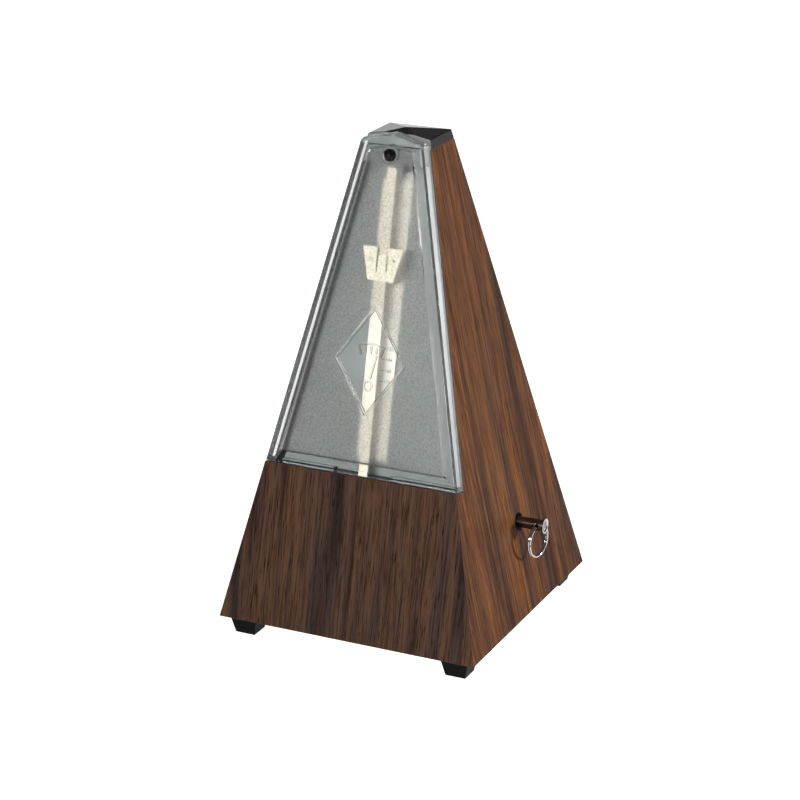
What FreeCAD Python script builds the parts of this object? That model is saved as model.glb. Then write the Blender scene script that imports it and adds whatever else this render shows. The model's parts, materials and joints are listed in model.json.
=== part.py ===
import FreeCAD, Part
import math
import os
import re
import Sketcher

# A wind-up pyramid metronome, in millimetres. +Z is up, the front with the cover faces -Y and the
# winding key stands out on the +X side. The origin is on the floor under the middle of the whole
# object's box. The places below are measured from the casing's middle plane, and bind() moves them
# all by box_shift, because the key makes the box wider on the right.
#
# "Up the slope" pieces are drawn in the front frame: x across, w up the front slope from the ledge
# that the cover stands on, v into the casing from the front plane.

DRIVING = [
    # casing
    ("total_height", 220.0, "floor to the tip of the roof"),
    ("base_width", 121.8, "casing width at its bottom edge"),
    ("base_depth", 124.6, "casing depth at its bottom edge"),
    ("top_width", 29.0, "casing width at the roof edge"),
    ("top_depth", 28.7, "casing depth at the roof edge"),
    ("wall", 3.0, "veneered casing panel"),
    ("cap_band", 4.1, "height of the cap's straight band"),
    ("cap_rise", 2.5, "roof edge to roof tip"),
    ("cap_tip", 0.3, "half width of the blunt roof tip"),
    ("ledge_height", 78.1, "floor to the front edge of the ledge"),
    ("ledge_thick", 2.0, "plate that closes the movement space"),
    ("slot_half", 13.0, "half width of the rod's slot in the ledge plate"),
    ("fit", 0.1, "gap between glued or screwed neighbours"),
    ("base_thick", 4.0, "base plate"),
    ("foot_height", 8.2, "rubber foot"),
    ("foot_top", 12.9, "foot width at the base"),
    ("foot_sole", 9.3, "foot width at the floor"),
    ("foot_inset_x", 3.9, "casing side to the foot"),
    ("foot_inset_y", 2.6, "casing front or back to the foot"),
    ("well_deep", 3.0, "screw well in a foot's sole"),
    ("well_gap", 0.2, "screw head to its well"),
    ("block_screw", 12.0, "base plate's screw into a corner block"),
    ("block_size", 12.0, "corner block, each way"),
    ("block_inset", 13.4, "casing edge to the middle of a corner block"),
    # cover and what stands behind it
    ("cover_depth", 6.8, "front face to the rim"),
    ("cover_wall", 1.6, "moulded wall"),
    ("cover_gap", 0.3, "cover to ledge and casing"),
    ("cover_peak", 3.5, "gable above the cover's shoulders"),
    ("stud_drop", 6.3, "shoulders of the cover to its stud"),
    ("stud_ball", 2.65, "radius of the stud's ball"),
    ("stud_stem", 1.6, "radius of the stud's stem"),
    ("stud_room", 0.35, "stud's ball to its hole in the cover"),
    ("board_front", 12.0, "front plane to the inner board"),
    ("board_thick", 2.0, "inner board"),
    ("scale_half", 7.0, "half width of the tempo scale"),
    ("scale_thick", 1.0, "tempo scale"),
    ("scale_foot", 6.5, "ledge to the lower edge of the scale"),
    ("scale_top", 130.0, "ledge to the upper edge of the scale"),
    ("bracket_foot", 133.0, "ledge to the lower edge of the top bracket"),
    ("bracket_front", 3.2, "front plane to the top bracket"),
    ("clip_thick", 1.0, "rest plate behind the end of the rod"),
    ("clip_gap", 0.5, "rod to its rest plate"),
    # pendulum
    ("pivot_drop", 16.0, "ledge down to the pendulum's axis"),
    ("rod_front", 4.0, "front plane to the rod"),
    ("rod_thick", 0.8, "flat rod"),
    ("rod_half", 2.1, "half width of the rod"),
    ("rod_top", 131.5, "ledge to the top end of the rod"),
    ("arbor_radius", 1.0, "pendulum and wheel arbors"),
    ("running", 0.05, "radial clearance of a turning fit"),
    ("arbor_back", 46.0, "front plane to the rear end of the pendulum arbor"),
    ("hub_radius", 3.5, "collet on the pendulum arbor"),
    ("hub_long", 4.2, "collet length"),
    ("bob_drop", 26.0, "pendulum axis to the counterweight's centre"),
    ("bob_radius", 11.0, "counterweight"),
    ("bob_thick", 9.0, "counterweight"),
    ("pallet_reach", 2.0, "pallet tip to the arbor's axis"),
    ("pallet_thick", 1.2, "pallet along the arbor"),
    ("sleeve_wall", 0.5, "pallet's sleeve on the arbor"),
    ("press", 0.01, "radial play of a wheel or collet fixed on its arbor"),
    ("weight_top_half", 9.4, "half width of the sliding weight, upper edge"),
    ("weight_foot_half", 5.9, "half width of the sliding weight, lower edge"),
    ("weight_tall", 14.3, "sliding weight along the rod"),
    ("weight_foot", 83.6, "ledge to the lower edge of the sliding weight"),
    ("weight_plate", 1.1, "each plate of the sliding weight"),
    ("weight_gap", 0.3, "sliding weight to the rod"),
    ("tongue_half", 1.95, "half width of the spring tongue"),
    ("tongue_slit", 0.7, "slit beside the spring tongue"),
    ("tongue_drop", 3.1, "upper edge of the weight to the tongue's end"),
    ("tongue_root", 3.8, "lower edge of the weight to the tongue's root"),
    ("rivet_x", 5.45, "rivet to the middle of the weight"),
    ("rivet_drop", 5.0, "upper edge of the weight to its rivets"),
    ("rivet_radius", 0.7, "rivet in the sliding weight"),
    ("spacer_wall", 0.9, "spacer round a rivet"),
    # clockwork
    ("frame_half", 24.0, "middle to the inner face of a frame plate"),
    ("frame_plate", 1.5, "frame plate, brackets and bridges"),
    ("frame_front", -39.0, "y of the frame plates' front edge"),
    ("frame_back", 28.0, "y of the frame plates' rear edge"),
    ("frame_foot", 26.0, "z of the frame plates' lower edge"),
    ("frame_top", 70.0, "z of the frame plates' upper edge"),
    ("pillar_radius", 2.5, "frame pillar"),
    ("pillar_inset_front", 10.0, "front edge of the plates to a pillar"),
    ("pillar_inset", 4.0, "other edges of the plates to a pillar"),
    ("screw_shank", 1.2, "radius of a frame screw"),
    ("screw_head", 2.4, "radius of a frame screw's head"),
    ("screw_head_tall", 1.2, "head of a frame screw"),
    ("bracket_height", 34.0, "z of the mounting brackets' upper edge"),
    ("bracket_reach", 11.5, "mounting bracket's foot, sideways"),
    ("bracket_half", 20.0, "half length of a mounting bracket"),
    ("bridge_front", 13.0, "front plane to the front bridge"),
    ("bridge_half", 4.0, "half height of a bridge, and its flange's screw"),
    ("key_y", 6.0, "y of the winding axis"),
    ("key_z", 47.5, "z of the winding axis"),
    ("barrel_x", 6.0, "x of the barrel's toothed face"),
    ("barrel_teeth", 64, "great wheel on the barrel"),
    ("barrel_module", 0.6, "great wheel and its pinion"),
    ("barrel_face", 2.2, "great wheel's width"),
    ("drum_radius", 16.5, "spring drum"),
    ("drum_long", 11.0, "spring drum beyond the great wheel"),
    ("drum_wall", 1.0, "spring drum and its lid"),
    ("winding_radius", 2.0, "winding arbor"),
    ("core_radius", 4.0, "winding arbor inside the drum"),
    ("spring_thick", 0.35, "mainspring strip"),
    ("spring_turns", 7, "mainspring coils"),
    ("pinion_teeth", 10, "pinion driven by the great wheel"),
    ("wheel_teeth", 50, "intermediate wheel"),
    ("wheel_module", 0.5, "intermediate wheel and escape pinion"),
    ("wheel_face", 2.0, "intermediate wheel's width"),
    ("wheel_x", -17.0, "x of the intermediate wheel's outer face"),
    ("escape_leaves", 10, "escape pinion"),
    ("crown_cross", 30.0, "front plane to where the wheel and pendulum axes cross"),
    ("crown_radius", 8.0, "crown wheel"),
    ("crown_teeth", 15, "crown wheel"),
    ("crown_tip", 2.3, "middle to the crown wheel's tooth tips"),
    ("crown_tooth", 3.2, "crown wheel tooth height"),
    ("crown_back", 9.0, "middle to the crown wheel's rear face"),
    ("crown_wall", 1.0, "crown wheel's rim"),
    ("crown_floor", 1.2, "crown wheel's disc"),
    ("cock_x", 12.0, "middle to the rear face of the escape cock"),
    ("cock_half", 3.0, "half width of the escape cock"),
    ("ratchet_teeth", 18, "ratchet wheel"),
    ("ratchet_radius", 7.0, "ratchet wheel over its tips"),
    ("ratchet_depth", 1.4, "ratchet tooth"),
    ("ratchet_x", 26.4, "x of the ratchet wheel's inner face"),
    ("ratchet_face", 1.9, "ratchet wheel, click and click spring"),
    ("click_back", 9.0, "click's pivot in front of the winding axis"),
    ("click_up", 9.0, "click's pivot above the winding axis"),
    ("click_lift", 0.15, "click's nose above the ratchet's tips"),
    ("click_boss", 2.2, "radius of the click's boss"),
    ("click_half", 1.8, "half height of the click's arm at its boss"),
    ("leaf_half", 6.0, "half length of the click's leaf spring"),
    ("leaf_low", 2.6, "click's pivot up to the leaf's free end"),
    ("leaf_high", 4.6, "click's pivot up to the leaf's fixed end"),
    ("leaf_thick", 0.3, "leaf spring"),
    ("leaf_stand", 1.3, "radius of the leaf's stand"),
    # winding key
    ("key_radius", 2.5, "key shaft"),
    ("key_start", 30.0, "x of the key's inner end"),
    ("key_end", 64.5, "x of the key's outer end"),
    ("key_socket", 8.0, "depth of the key's socket"),
    ("key_collar", 3.3, "radius of the key's collar"),
    ("key_collar_long", 1.0, "key's collar"),
    ("key_chamfer", 0.4, "chamfer on the key's collar"),
    ("key_hole", 4.0, "radius of the hole in the casing"),
    ("ring_x", 61.1, "x of the ring's hole"),
    ("ring_radius", 7.3, "key ring, middle of the wire"),
    ("ring_wire", 0.85, "radius of the ring's wire"),
    ("ring_hole", 1.5, "radius of the ring's hole"),
    ("ring_yaw", 9.0, "turn of the ring about the vertical, degrees"),
    ("ring_split", 4.0, "opening of the split ring, degrees"),
]

WORKED = [
    ("half_width", "base_width / 2"),
    ("box_shift", "(key_end - half_width) / 2"),
    ("half_depth", "base_depth / 2"),
    ("roof_edge", "total_height - cap_rise"),
    ("climb", "roof_edge - foot_height"),
    ("slope_x", "(base_width - top_width) / 2 / climb"),
    ("slope_y", "(base_depth - top_depth) / 2 / climb"),
    ("tilt_x", "atan(slope_x) / 1 deg"),
    ("tilt_y", "atan(slope_y) / 1 deg"),
    ("cos_x", "cos(tilt_x)"),
    ("sin_x", "sin(tilt_x)"),
    ("cos_y", "cos(tilt_y)"),
    ("sin_y", "sin(tilt_y)"),
    ("wall_x", "wall / cos_x"),
    ("wall_y", "wall / cos_y"),
    ("panel_top", "roof_edge - cap_band"),
    ("front_y", "half_depth - slope_y * (ledge_height - foot_height)"),
    ("ledge_half", "half_width - slope_x * (ledge_height - foot_height)"),
    ("narrowing", "slope_x * cos_y"),
    ("shoulder_w", "(roof_edge - ledge_height) / cos_y"),
    ("opening_depth", "cover_depth + cover_gap"),
    ("opening_half", "ledge_half - wall_x - fit"),
    ("bracket_top", "(panel_top - ledge_height + opening_depth * sin_y) / cos_y - fit"),
    ("stud_w", "shoulder_w - stud_drop"),
    ("base_top", "foot_height + base_thick"),
    ("foot_x", "half_width - foot_inset_x - foot_top / 2"),
    ("foot_y", "half_depth - foot_inset_y - foot_top / 2"),
    ("block_x", "half_width - block_inset"),
    ("block_y", "half_depth - block_inset - foot_top * 0.7"),
    ("rod_back", "rod_front + rod_thick"),
    ("bob_w", "-pivot_drop - bob_drop"),
    ("weight_front", "rod_front - weight_gap - weight_plate"),
    ("weight_back", "rod_back + weight_gap + weight_plate"),
    ("bridge_rear", "arbor_back - 3.0"),
    ("crown_y", "-front_y + crown_cross * cos_y - pivot_drop * sin_y"),
    ("crown_z", "ledge_height - crown_cross * sin_y - pivot_drop * cos_y"),
    ("great_centres", "(barrel_teeth + pinion_teeth) * barrel_module / 2"),
    ("small_centres", "(wheel_teeth + escape_leaves) * wheel_module / 2"),
    ("reach_y", "crown_y - key_y"),
    ("reach_z", "crown_z - key_z"),
    ("reach", "sqrt(reach_y * reach_y + reach_z * reach_z)"),
    ("along", "(great_centres^2 - small_centres^2 + reach^2) / (2 * reach)"),
    ("aside", "sqrt(great_centres^2 - along^2)"),
    ("mid_y", "key_y + (along * reach_y - aside * reach_z) / reach"),
    ("mid_z", "key_z + (along * reach_z + aside * reach_y) / reach"),
    ("frame_out", "frame_half + frame_plate"),
    ("pillar_front", "frame_front + pillar_inset_front"),
    ("pillar_back", "frame_back - pillar_inset"),
    ("pillar_low", "frame_foot + pillar_inset"),
    ("pillar_high", "frame_top - pillar_inset"),
    ("click_y", "key_y - click_back"),
    ("click_z", "key_z + click_up"),
    ("nose_z", "key_z + ratchet_radius + click_lift"),
]

ALIASES = {}
STAND = "rotation(0; 0; 0)"
TO_ORIGIN = f"placement(vector(-box_shift; 0; 0); {STAND})"


def full(text):
    """Write the sheet's name in front of each alias in an expression."""
    return re.sub(r"[a-z_]+[a-z_0-9]*", lambda word: ALIASES.get(word.group(0), word.group(0)), str(text))


def make_sheets(doc):
    """Put the driving numbers in one sheet and what follows from them in a second one."""
    for name, rows in (("Sizes", DRIVING), ("Worked", WORKED)):
        sheet = doc.addObject("Spreadsheet::Sheet", name)
        for number, row in enumerate(rows, 1):
            sheet.set(f"A{number}", row[-1] if name == "Sizes" else row[0])
            sheet.set(f"B{number}", str(row[1]) if name == "Sizes" else "=" + full(row[1]))
            sheet.setAlias(f"B{number}", row[0])
            ALIASES[row[0]] = f"{name}.{row[0]}"
    doc.recompute()


def value(text):
    """The number that an expression gives now."""
    found = DOC.Sizes.evalExpression(full(text))
    return float(getattr(found, "Value", found))


def bind(thing, place=None, **sizes):
    """Tie an object's sizes, and its place in the object, to expressions."""
    for name, text in sizes.items():
        thing.setExpression(name, full(text))
    if place:
        thing.setExpression("Placement", full(f"{TO_ORIGIN} * {place}"))
    return thing


# Places. Each gives an expression for a placement whose local axes suit the piece.

def upright(x, y, z):
    """Local axes as the part's own."""
    return f"placement(vector({x}; {y}; {z}); {STAND})"


def on_front(x, w, v):
    """Local x across, y up the front slope, z out of the front."""
    frame = "placement(vector(0; -front_y; ledge_height); rotation(0; 0; 90 - tilt_y))"
    return f"{frame} * placement(vector({x}; {w}; -({v})); {STAND})"


def on_ledge(x, v, w):
    """Local x across, y into the casing, z up the front slope."""
    frame = "placement(vector(0; -front_y; ledge_height); rotation(0; 0; -tilt_y))"
    return f"{frame} * placement(vector({x}; {v}; {w}); {STAND})"


def along_x(x, y, z):
    """Local x to the back, y up, z to the right."""
    return f"placement(vector({x}; {y}; {z}); rotation(90; 0; 90))"


def along_depth(x, y, z):
    """Local x to the right, y up, z to the front."""
    return f"placement(vector({x}; {y}; {z}); rotation(0; 0; 90))"


# Makers. A piece with a label is exported as a node; one without only builds another piece.

NODES = []


def named(thing, label):
    """Give a thing its node name, if it has one."""
    if label:
        thing.Label = label
        NODES.append(thing)
    return thing


def cylinder(label, radius, length, place):
    return bind(named(DOC.addObject("Part::Cylinder", "Round"), label), place, Radius=radius, Height=length)


def box(label, across, deep, tall, place):
    thing = named(DOC.addObject("Part::Box", "Block"), label)
    return bind(thing, place, Length=across, Width=deep, Height=tall)


def cone(label, radius, end_radius, length, place):
    thing = named(DOC.addObject("Part::Cone", "Taper"), label)
    return bind(thing, place, Radius1=radius, Radius2=end_radius, Height=length)


def frustum(label, half_x, half_y, end_half_x, end_half_y, tall, place):
    """A tapered block that stands on its first rectangle, centred on its place."""
    thing = named(DOC.addObject("Part::Wedge", "Frustum"), label)
    bind(thing, Xmin=f"-({half_x})", Xmax=half_x, Zmin=f"-({half_y})", Zmax=half_y, Ymin="0", Ymax=tall)
    bind(thing, X2min=f"-({end_half_x})", X2max=end_half_x, Z2min=f"-({end_half_y})", Z2max=end_half_y)
    return bind(thing, f"{place} * placement(vector(0; 0; 0); rotation(0; 0; 90))")


def carve(label, base, tools):
    """Cut each tool from the base in turn."""
    for tool in tools:
        thing = DOC.addObject("Part::Cut", "Carved")
        thing.Base = base
        thing.Tool = tool
        base = thing
    return named(base, label)


def join(label, pieces):
    thing = DOC.addObject("Part::MultiFuse", "Joined")
    thing.Shapes = pieces
    return named(thing, label)


def group(label, pieces):
    """Separate solids that share one node."""
    thing = DOC.addObject("Part::Compound", "Group")
    thing.Links = pieces
    return named(thing, label)


def draw(body, outline, holes=(), offset="0"):
    """A sketch on the body's XY plane: a closed outline, and round holes as (x, y, radius)."""
    sketch = body.newObject("Sketcher::SketchObject", "Outline")
    plane = next(feature for feature in body.Origin.OriginFeatures if feature.Role == "XY_Plane")
    sketch.AttachmentSupport = [(plane, "")]
    sketch.MapMode = "FlatFace"
    sketch.setExpression("AttachmentOffset.Base.z", full(offset))
    corners = [FreeCAD.Vector(value(x), value(y), 0) for x, y in outline]
    count = len(corners)
    for index in range(count):
        sketch.addGeometry(Part.LineSegment(corners[index], corners[(index + 1) % count]), False)
    for index in range(count):
        sketch.addConstraint(Sketcher.Constraint("Coincident", index, 2, (index + 1) % count, 1))
        pin_point(sketch, index, 1, outline[index])
    for number, (x, y, radius) in enumerate(holes, count):
        centre = FreeCAD.Vector(value(x), value(y), 0)
        sketch.addGeometry(Part.Circle(centre, FreeCAD.Vector(0, 0, 1), value(radius)), False)
        pin_point(sketch, number, 3, (x, y))
        tie = sketch.addConstraint(Sketcher.Constraint("Radius", number, value(radius)))
        sketch.renameConstraint(tie, f"radius_{number}")
        sketch.setExpression(f"Constraints.radius_{number}", full(radius))
    return sketch


def pin_point(sketch, index, end, point):
    """Hold one point of a sketch at its two coordinates."""
    for kind, letter, text in (("DistanceX", "x", point[0]), ("DistanceY", "y", point[1])):
        tie = sketch.addConstraint(Sketcher.Constraint(kind, -1, 1, index, end, value(text)))
        sketch.renameConstraint(tie, f"{letter}_{index}")
        sketch.setExpression(f"Constraints.{letter}_{index}", full(text))


def slab(label, outline, thick, place, holes=()):
    """A flat piece: its outline and holes padded along its local z."""
    body = named(DOC.addObject("PartDesign::Body", "Slab"), label)
    sketch = draw(body, outline, holes)
    pad = body.newObject("PartDesign::Pad", "Thickness")
    pad.Profile = sketch
    pad.setExpression("Length", full(thick))
    body.Tip = pad
    return bind(body, place)


def loft(label, outline, end_outline, offset, place):
    """A body between two outlines, the second one at the given offset."""
    body = named(DOC.addObject("PartDesign::Body", "Loft"), label)
    first = draw(body, outline)
    second = draw(body, end_outline, offset=offset)
    skin = body.newObject("PartDesign::AdditiveLoft", "Between")
    skin.Profile = first
    skin.Sections = [second]
    skin.Ruled = True
    body.Tip = skin
    return bind(body, place)


def rectangle(x0, x1, y0, y1):
    return [(x0, y0), (x1, y0), (x1, y1), (x0, y1)]


def four(x, y):
    """The four corners that share one distance from the middle, each way."""
    return [(f"{sx}({x})", f"{sy}({y})") for sx in ("", "-") for sy in ("", "-")]


def screw(place, grip):
    """A frame screw: its head stands on local z 0, and its shank goes down by the grip."""
    head = cylinder(None, "screw_head", "screw_head_tall", place)
    shank = cylinder(None, "screw_shank", grip, f"{place} * placement(vector(0; 0; -({grip})); {STAND})")
    return join(None, [head, shank])


def screw_drill(place, grip):
    """The hole that a frame screw needs."""
    start = f"{place} * placement(vector(0; 0; -({grip}) - fit); {STAND})"
    return cylinder(None, "screw_shank + running", f"{grip} + fit * 2", start)


# Casing

def mitred_panel(label, half, other_slope, letter, top, turn, level_top=True):
    """One wall of the pyramid, with its mitred ends on the arrises and its foot level."""
    other = "x" if letter == "y" else "y"
    cos, sin = f"cos_{letter}", f"sin_{letter}"
    height = f"(({top}) - foot_height) / {cos}"
    outer_top = f"{half} - {other_slope} * (({top}) - foot_height)"
    shift = f"wall * {sin} / {cos}"
    end = f"{height} + {shift}" if level_top else height
    inner_foot = f"{half} - wall_{other}"
    inner_top = f"{half} - wall_{other} - {other_slope} * (({end}) * {cos} - wall * {sin})"
    outer = [(f"-({half})", "0"), (half, "0"), (outer_top, height), (f"-({outer_top})", height)]
    inner = [(f"-({inner_foot})", shift), (inner_foot, shift), (inner_top, end), (f"-({inner_top})", end)]
    reach = "half_depth" if letter == "y" else "half_width"
    place = (f"placement(vector(0; 0; foot_height); rotation({turn}; 0; 0)) * "
             f"placement(vector(0; -{reach}; 0); rotation(0; 0; 90 - tilt_{letter}))")
    return loft(label, outer, inner, "-wall", place)


def cover_zone():
    """The space in front of the upper casing that belongs to the cover."""
    return box(None, "base_width", "opening_depth + 40", "total_height", on_ledge("-half_width", "-40", "0"))


def make_casing():
    mitred_panel("front_panel", "half_width", "slope_x", "y", "ledge_height", 0, level_top=False)
    mitred_panel("back_panel", "half_width", "slope_x", "y", "panel_top", 180)
    left = mitred_panel(None, "half_depth", "slope_y", "x", "panel_top", -90)
    right = mitred_panel(None, "half_depth", "slope_y", "x", "panel_top", 90)
    carve("left_panel", left, [cover_zone()])
    key_hole = cylinder(None, "key_hole", "base_width", along_x("0", "key_y", "key_z"))
    carve("right_panel", right, [cover_zone(), key_hole])
    edge_x = "top_width / 2"
    edge_y = "top_depth / 2"
    band = frustum(None, f"{edge_x} + slope_x * cap_band", f"{edge_y} + slope_y * cap_band",
                   edge_x, edge_y, "cap_band", upright("0", "0", "panel_top"))
    roof = frustum(None, edge_x, edge_y, "cap_tip", "cap_tip", "cap_rise", upright("0", "0", "roof_edge"))
    carve("top_cap", join(None, [band, roof]), [cover_zone()])


def make_base():
    plate = frustum(None, "half_width - wall_x - fit", "half_depth - wall_y - fit",
                    "half_width - wall_x - fit - slope_x * base_thick",
                    "half_depth - wall_y - fit - slope_y * base_thick", "base_thick",
                    upright("0", "0", "foot_height"))
    holes = [cylinder(None, "screw_shank + running", "base_thick", upright(x, y, "foot_height - fit"))
             for x, y in four("foot_x", "foot_y")]
    holes += [cylinder(None, "screw_shank + running", "base_thick + 1", upright(x, y, "foot_height - 0.5"))
              for x, y in four("block_x", "block_y")]
    holes += [cylinder(None, "screw_head + fit", "screw_head_tall + fit", upright(x, y, "foot_height - fit"))
              for x, y in four("block_x", "block_y")]
    holes += [screw_drill(place, grip) for place, grip in bracket_floor_screws()]
    carve("base_plate", plate, holes)
    names = ("rear_right_foot", "front_right_foot", "rear_left_foot", "front_left_foot")
    shanks, pegs, blocks = [], [], []
    for name, (x, y) in zip(names, four("foot_x", "foot_y")):
        pad = frustum(None, "foot_sole / 2", "foot_sole / 2", "foot_top / 2", "foot_top / 2",
                      "foot_height - 0.02", upright(x, y, "0"))
        well = cylinder(None, "screw_head + well_gap", "well_deep + running", upright(x, y, "-running / 2"))
        bore = cylinder(None, "screw_shank + running", "foot_height + 1", upright(x, y, "-0.5"))
        carve(name, pad, [well, bore])
        head = cylinder(None, "screw_head", "screw_head_tall", upright(x, y, "well_deep - screw_head_tall"))
        shank = cylinder(None, "screw_shank", "base_top - well_deep - 0.6", upright(x, y, "well_deep - fit"))
        shanks.append(join(None, [head, shank]))
    for x, y in four("block_x", "block_y"):
        head = cylinder(None, "screw_head", "screw_head_tall - fit", upright(x, y, "foot_height + fit"))
        shank = cylinder(None, "screw_shank", "block_screw",
                         upright(x, y, "foot_height + screw_head_tall - fit * 2"))
        pegs.append(join(None, [head, shank]))
        half = "block_size / 2"
        block = box(None, "block_size", "block_size", "block_size",
                    upright(f"{x} - {half}", f"{y} - {half}", "base_top + fit"))
        bore = cylinder(None, "screw_shank + running", "block_screw - 2", upright(x, y, "base_top"))
        blocks.append(carve(None, block, [bore]))
    group("foot_screws", shanks)
    group("base_screws", pegs)
    group("corner_blocks", blocks)


def inner_half(w):
    """Half width between the side panels, at a height up the front slope."""
    return f"opening_half - narrowing * ({w})"


def make_front_fittings():
    ledge = [("-opening_half", "wall + fit"), ("-slot_half", "wall + fit"), ("-slot_half", "rod_back + 1"),
             ("slot_half", "rod_back + 1"), ("slot_half", "wall + fit"), ("opening_half", "wall + fit"),
             ("opening_half", "board_front + board_thick"), ("-opening_half", "board_front + board_thick")]
    slab("ledge_plate", ledge, "ledge_thick - fit", on_ledge("0", "0", "-ledge_thick"))
    foot, top = inner_half("0"), inner_half("bracket_top")
    board = [(f"-({foot})", "0"), (foot, "0"), (top, "bracket_top"), (f"-({top})", "bracket_top")]
    slab("inner_board", board, "board_thick", on_front("0", "0", "board_front + board_thick"))
    slab("scale_plate", rectangle("-scale_half", "scale_half", "scale_foot", "scale_top"),
         "scale_thick", on_front("0", "0", "board_front"))
    low = inner_half("bracket_foot")
    slab("top_bracket", [(f"-({low})", "bracket_foot"), (low, "bracket_foot"), (top, "bracket_top"),
                         (f"-({top})", "bracket_top")],
         "board_front - bracket_front", on_front("0", "0", "board_front"),
         [("0", "stud_w", "stud_stem + fit / 2")])
    slab("rod_rest", rectangle("-rod_half * 2", "rod_half * 2", "rod_top - 5", "bracket_foot"),
         "clip_thick", on_front("0", "0", "rod_back + clip_gap + clip_thick"))
    stem = cylinder(None, "stud_stem", "board_front", on_front("0", "stud_w", "board_front"))
    ball = bind(DOC.addObject("Part::Sphere", "Ball"), on_front("0", "stud_w", "0"), Radius="stud_ball")
    join("cover_stud", [stem, ball])


def gable(foot, peak, inset):
    """The cover's outline: a tall trapezoid with a low gable, drawn in by the inset."""
    low = f"ledge_half - ({inset}) / cos_x"
    high = f"ledge_half - narrowing * shoulder_w - ({inset}) / cos_x"
    shoulder = f"shoulder_w - ({inset})"
    return [(f"-({low})", foot), (low, foot), (high, shoulder), ("0", peak), (f"-({high})", shoulder)]


def make_cover():
    outer = gable("cover_gap", "shoulder_w + cover_peak", "0")
    inner = gable("cover_gap + cover_wall", "shoulder_w + cover_peak - cover_wall", "cover_wall")
    shell = slab(None, outer, "cover_depth", on_front("0", "0", "cover_depth"))
    hollow = slab(None, inner, "cover_depth", on_front("0", "0", "cover_depth + cover_wall"))
    bore = cylinder(None, "stud_ball + stud_room", "cover_wall * 3",
                    on_front("0", "stud_w", "cover_wall * 2"))
    notch = box(None, "slot_half * 2 + 1", "cover_depth", "cover_wall * 2 + cover_gap",
                on_ledge("-slot_half - 0.5", "wall + fit", "-cover_wall"))
    carve("front_cover", shell, [hollow, bore, notch])


# Pendulum

def make_pendulum():
    bore = ("0", "-pivot_drop", "arbor_radius + press")
    slab("pendulum_rod", rectangle("-rod_half", "rod_half", "bob_w - 6", "rod_top"), "rod_thick",
         on_front("0", "0", "rod_back"), [bore])
    arbor_front = "wall + 0.5"
    cylinder("pendulum_arbor", "arbor_radius", f"arbor_back - ({arbor_front})",
             on_front("0", "-pivot_drop", "arbor_back"))
    collet = cylinder(None, "hub_radius", "hub_long", on_front("0", "-pivot_drop", "rod_back + hub_long"))
    hole = cylinder(None, "arbor_radius + press", "hub_long + 2",
                    on_front("0", "-pivot_drop", "rod_back + hub_long + 1"))
    carve("pendulum_hub", collet, [hole])
    cylinder("counterweight", "bob_radius", "bob_thick", on_front("0", "bob_w", "rod_back + bob_thick"))
    for name, side, turn in (("front_pallet", "-", -45), ("rear_pallet", "+", 45)):
        depth = f"crown_cross {side} (crown_radius - crown_wall + fit) + pallet_thick / 2"
        vane = box(None, "pallet_reach", "arbor_radius * 0.8", "pallet_thick",
                   f"{turned(on_front('0', '-pivot_drop', depth), turn)}"
                   f" * placement(vector(-pallet_reach; -arbor_radius * 0.4; 0); {STAND})")
        sleeve = cylinder(None, "arbor_radius + sleeve_wall", "pallet_thick",
                          on_front("0", "-pivot_drop", depth))
        hole = cylinder(None, "arbor_radius + press", "pallet_thick * 3",
                        on_front("0", "-pivot_drop", f"{depth} + pallet_thick"))
        carve(name, join(None, [vane, sleeve]), [hole])


def make_weight():
    slit = "tongue_half + tongue_slit"
    top = "weight_tall"
    end = "weight_tall - tongue_drop"
    right = [("weight_foot_half", "0"), ("weight_top_half", top), (slit, top), (slit, "tongue_root"),
             ("tongue_half", "tongue_root"), ("tongue_half", end)]
    left = [(f"-({x})", y) for x, y in reversed(right)]
    rivets = [(x, "weight_tall - rivet_drop", "rivet_radius + 0.02") for x in ("-rivet_x", "rivet_x")]
    slab("tempo_weight_front", right + left, "weight_plate",
         on_front("0", "weight_foot", "weight_front + weight_plate"), rivets)
    plain = [("weight_foot_half", "0"), ("weight_top_half", top), ("-weight_top_half", top),
             ("-weight_foot_half", "0")]
    back = slab(None, plain, "weight_plate", on_front("0", "weight_foot", "weight_back"))
    spacing = "rod_thick + weight_gap * 2"
    pillars, drills, pins = [], [], []
    for x in ("-rivet_x", "rivet_x"):
        w = "weight_foot + weight_tall - rivet_drop"
        pillars.append(cylinder(None, "rivet_radius + spacer_wall", f"{spacing} + 0.2",
                                on_front(x, w, "rod_back + weight_gap + 0.2")))
        drills.append(cylinder(None, "rivet_radius + 0.02", "10", on_front(x, w, "weight_back + 1")))
        pins.append(cylinder(None, "rivet_radius", "weight_back - weight_front - fit",
                             on_front(x, w, "weight_back")))
    carve("tempo_weight_back", join(None, [back] + pillars), drills)
    group("weight_rivets", pins)


# Clockwork

# Tooth heights in modules, and the widths of a tooth's tip and foot as shares of the pitch.
ADDENDUM = 0.62
WHEEL_DEDENDUM = 0.95
LEAF_DEDENDUM = 1.15
TOOTH_LAND = 0.16
WHEEL_FOOT = 0.50
LEAF_FOOT = 0.46


def rim(teeth, tip, root, foot=WHEEL_FOOT):
    """A closed run of points round a toothed edge. Tooth 0 is on local +x."""
    points = []
    step = 2 * math.pi / teeth
    corners = ((root, -foot / 2), (tip, -TOOTH_LAND / 2), (tip, TOOTH_LAND / 2), (root, foot / 2))
    for tooth in range(teeth):
        for radius, share in corners:
            angle = (tooth + share) * step
            points.append(FreeCAD.Vector(radius * math.cos(angle), radius * math.sin(angle), 0))
    return points + points[:1]


def toothed(points, face, bore):
    """Extrude a toothed outline and bore it."""
    blank = Part.Face(Part.makePolygon(points)).extrude(FreeCAD.Vector(0, 0, face))
    if bore:
        blank = blank.cut(Part.makeCylinder(bore, face + 2, FreeCAD.Vector(0, 0, -1)))
    return blank


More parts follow.
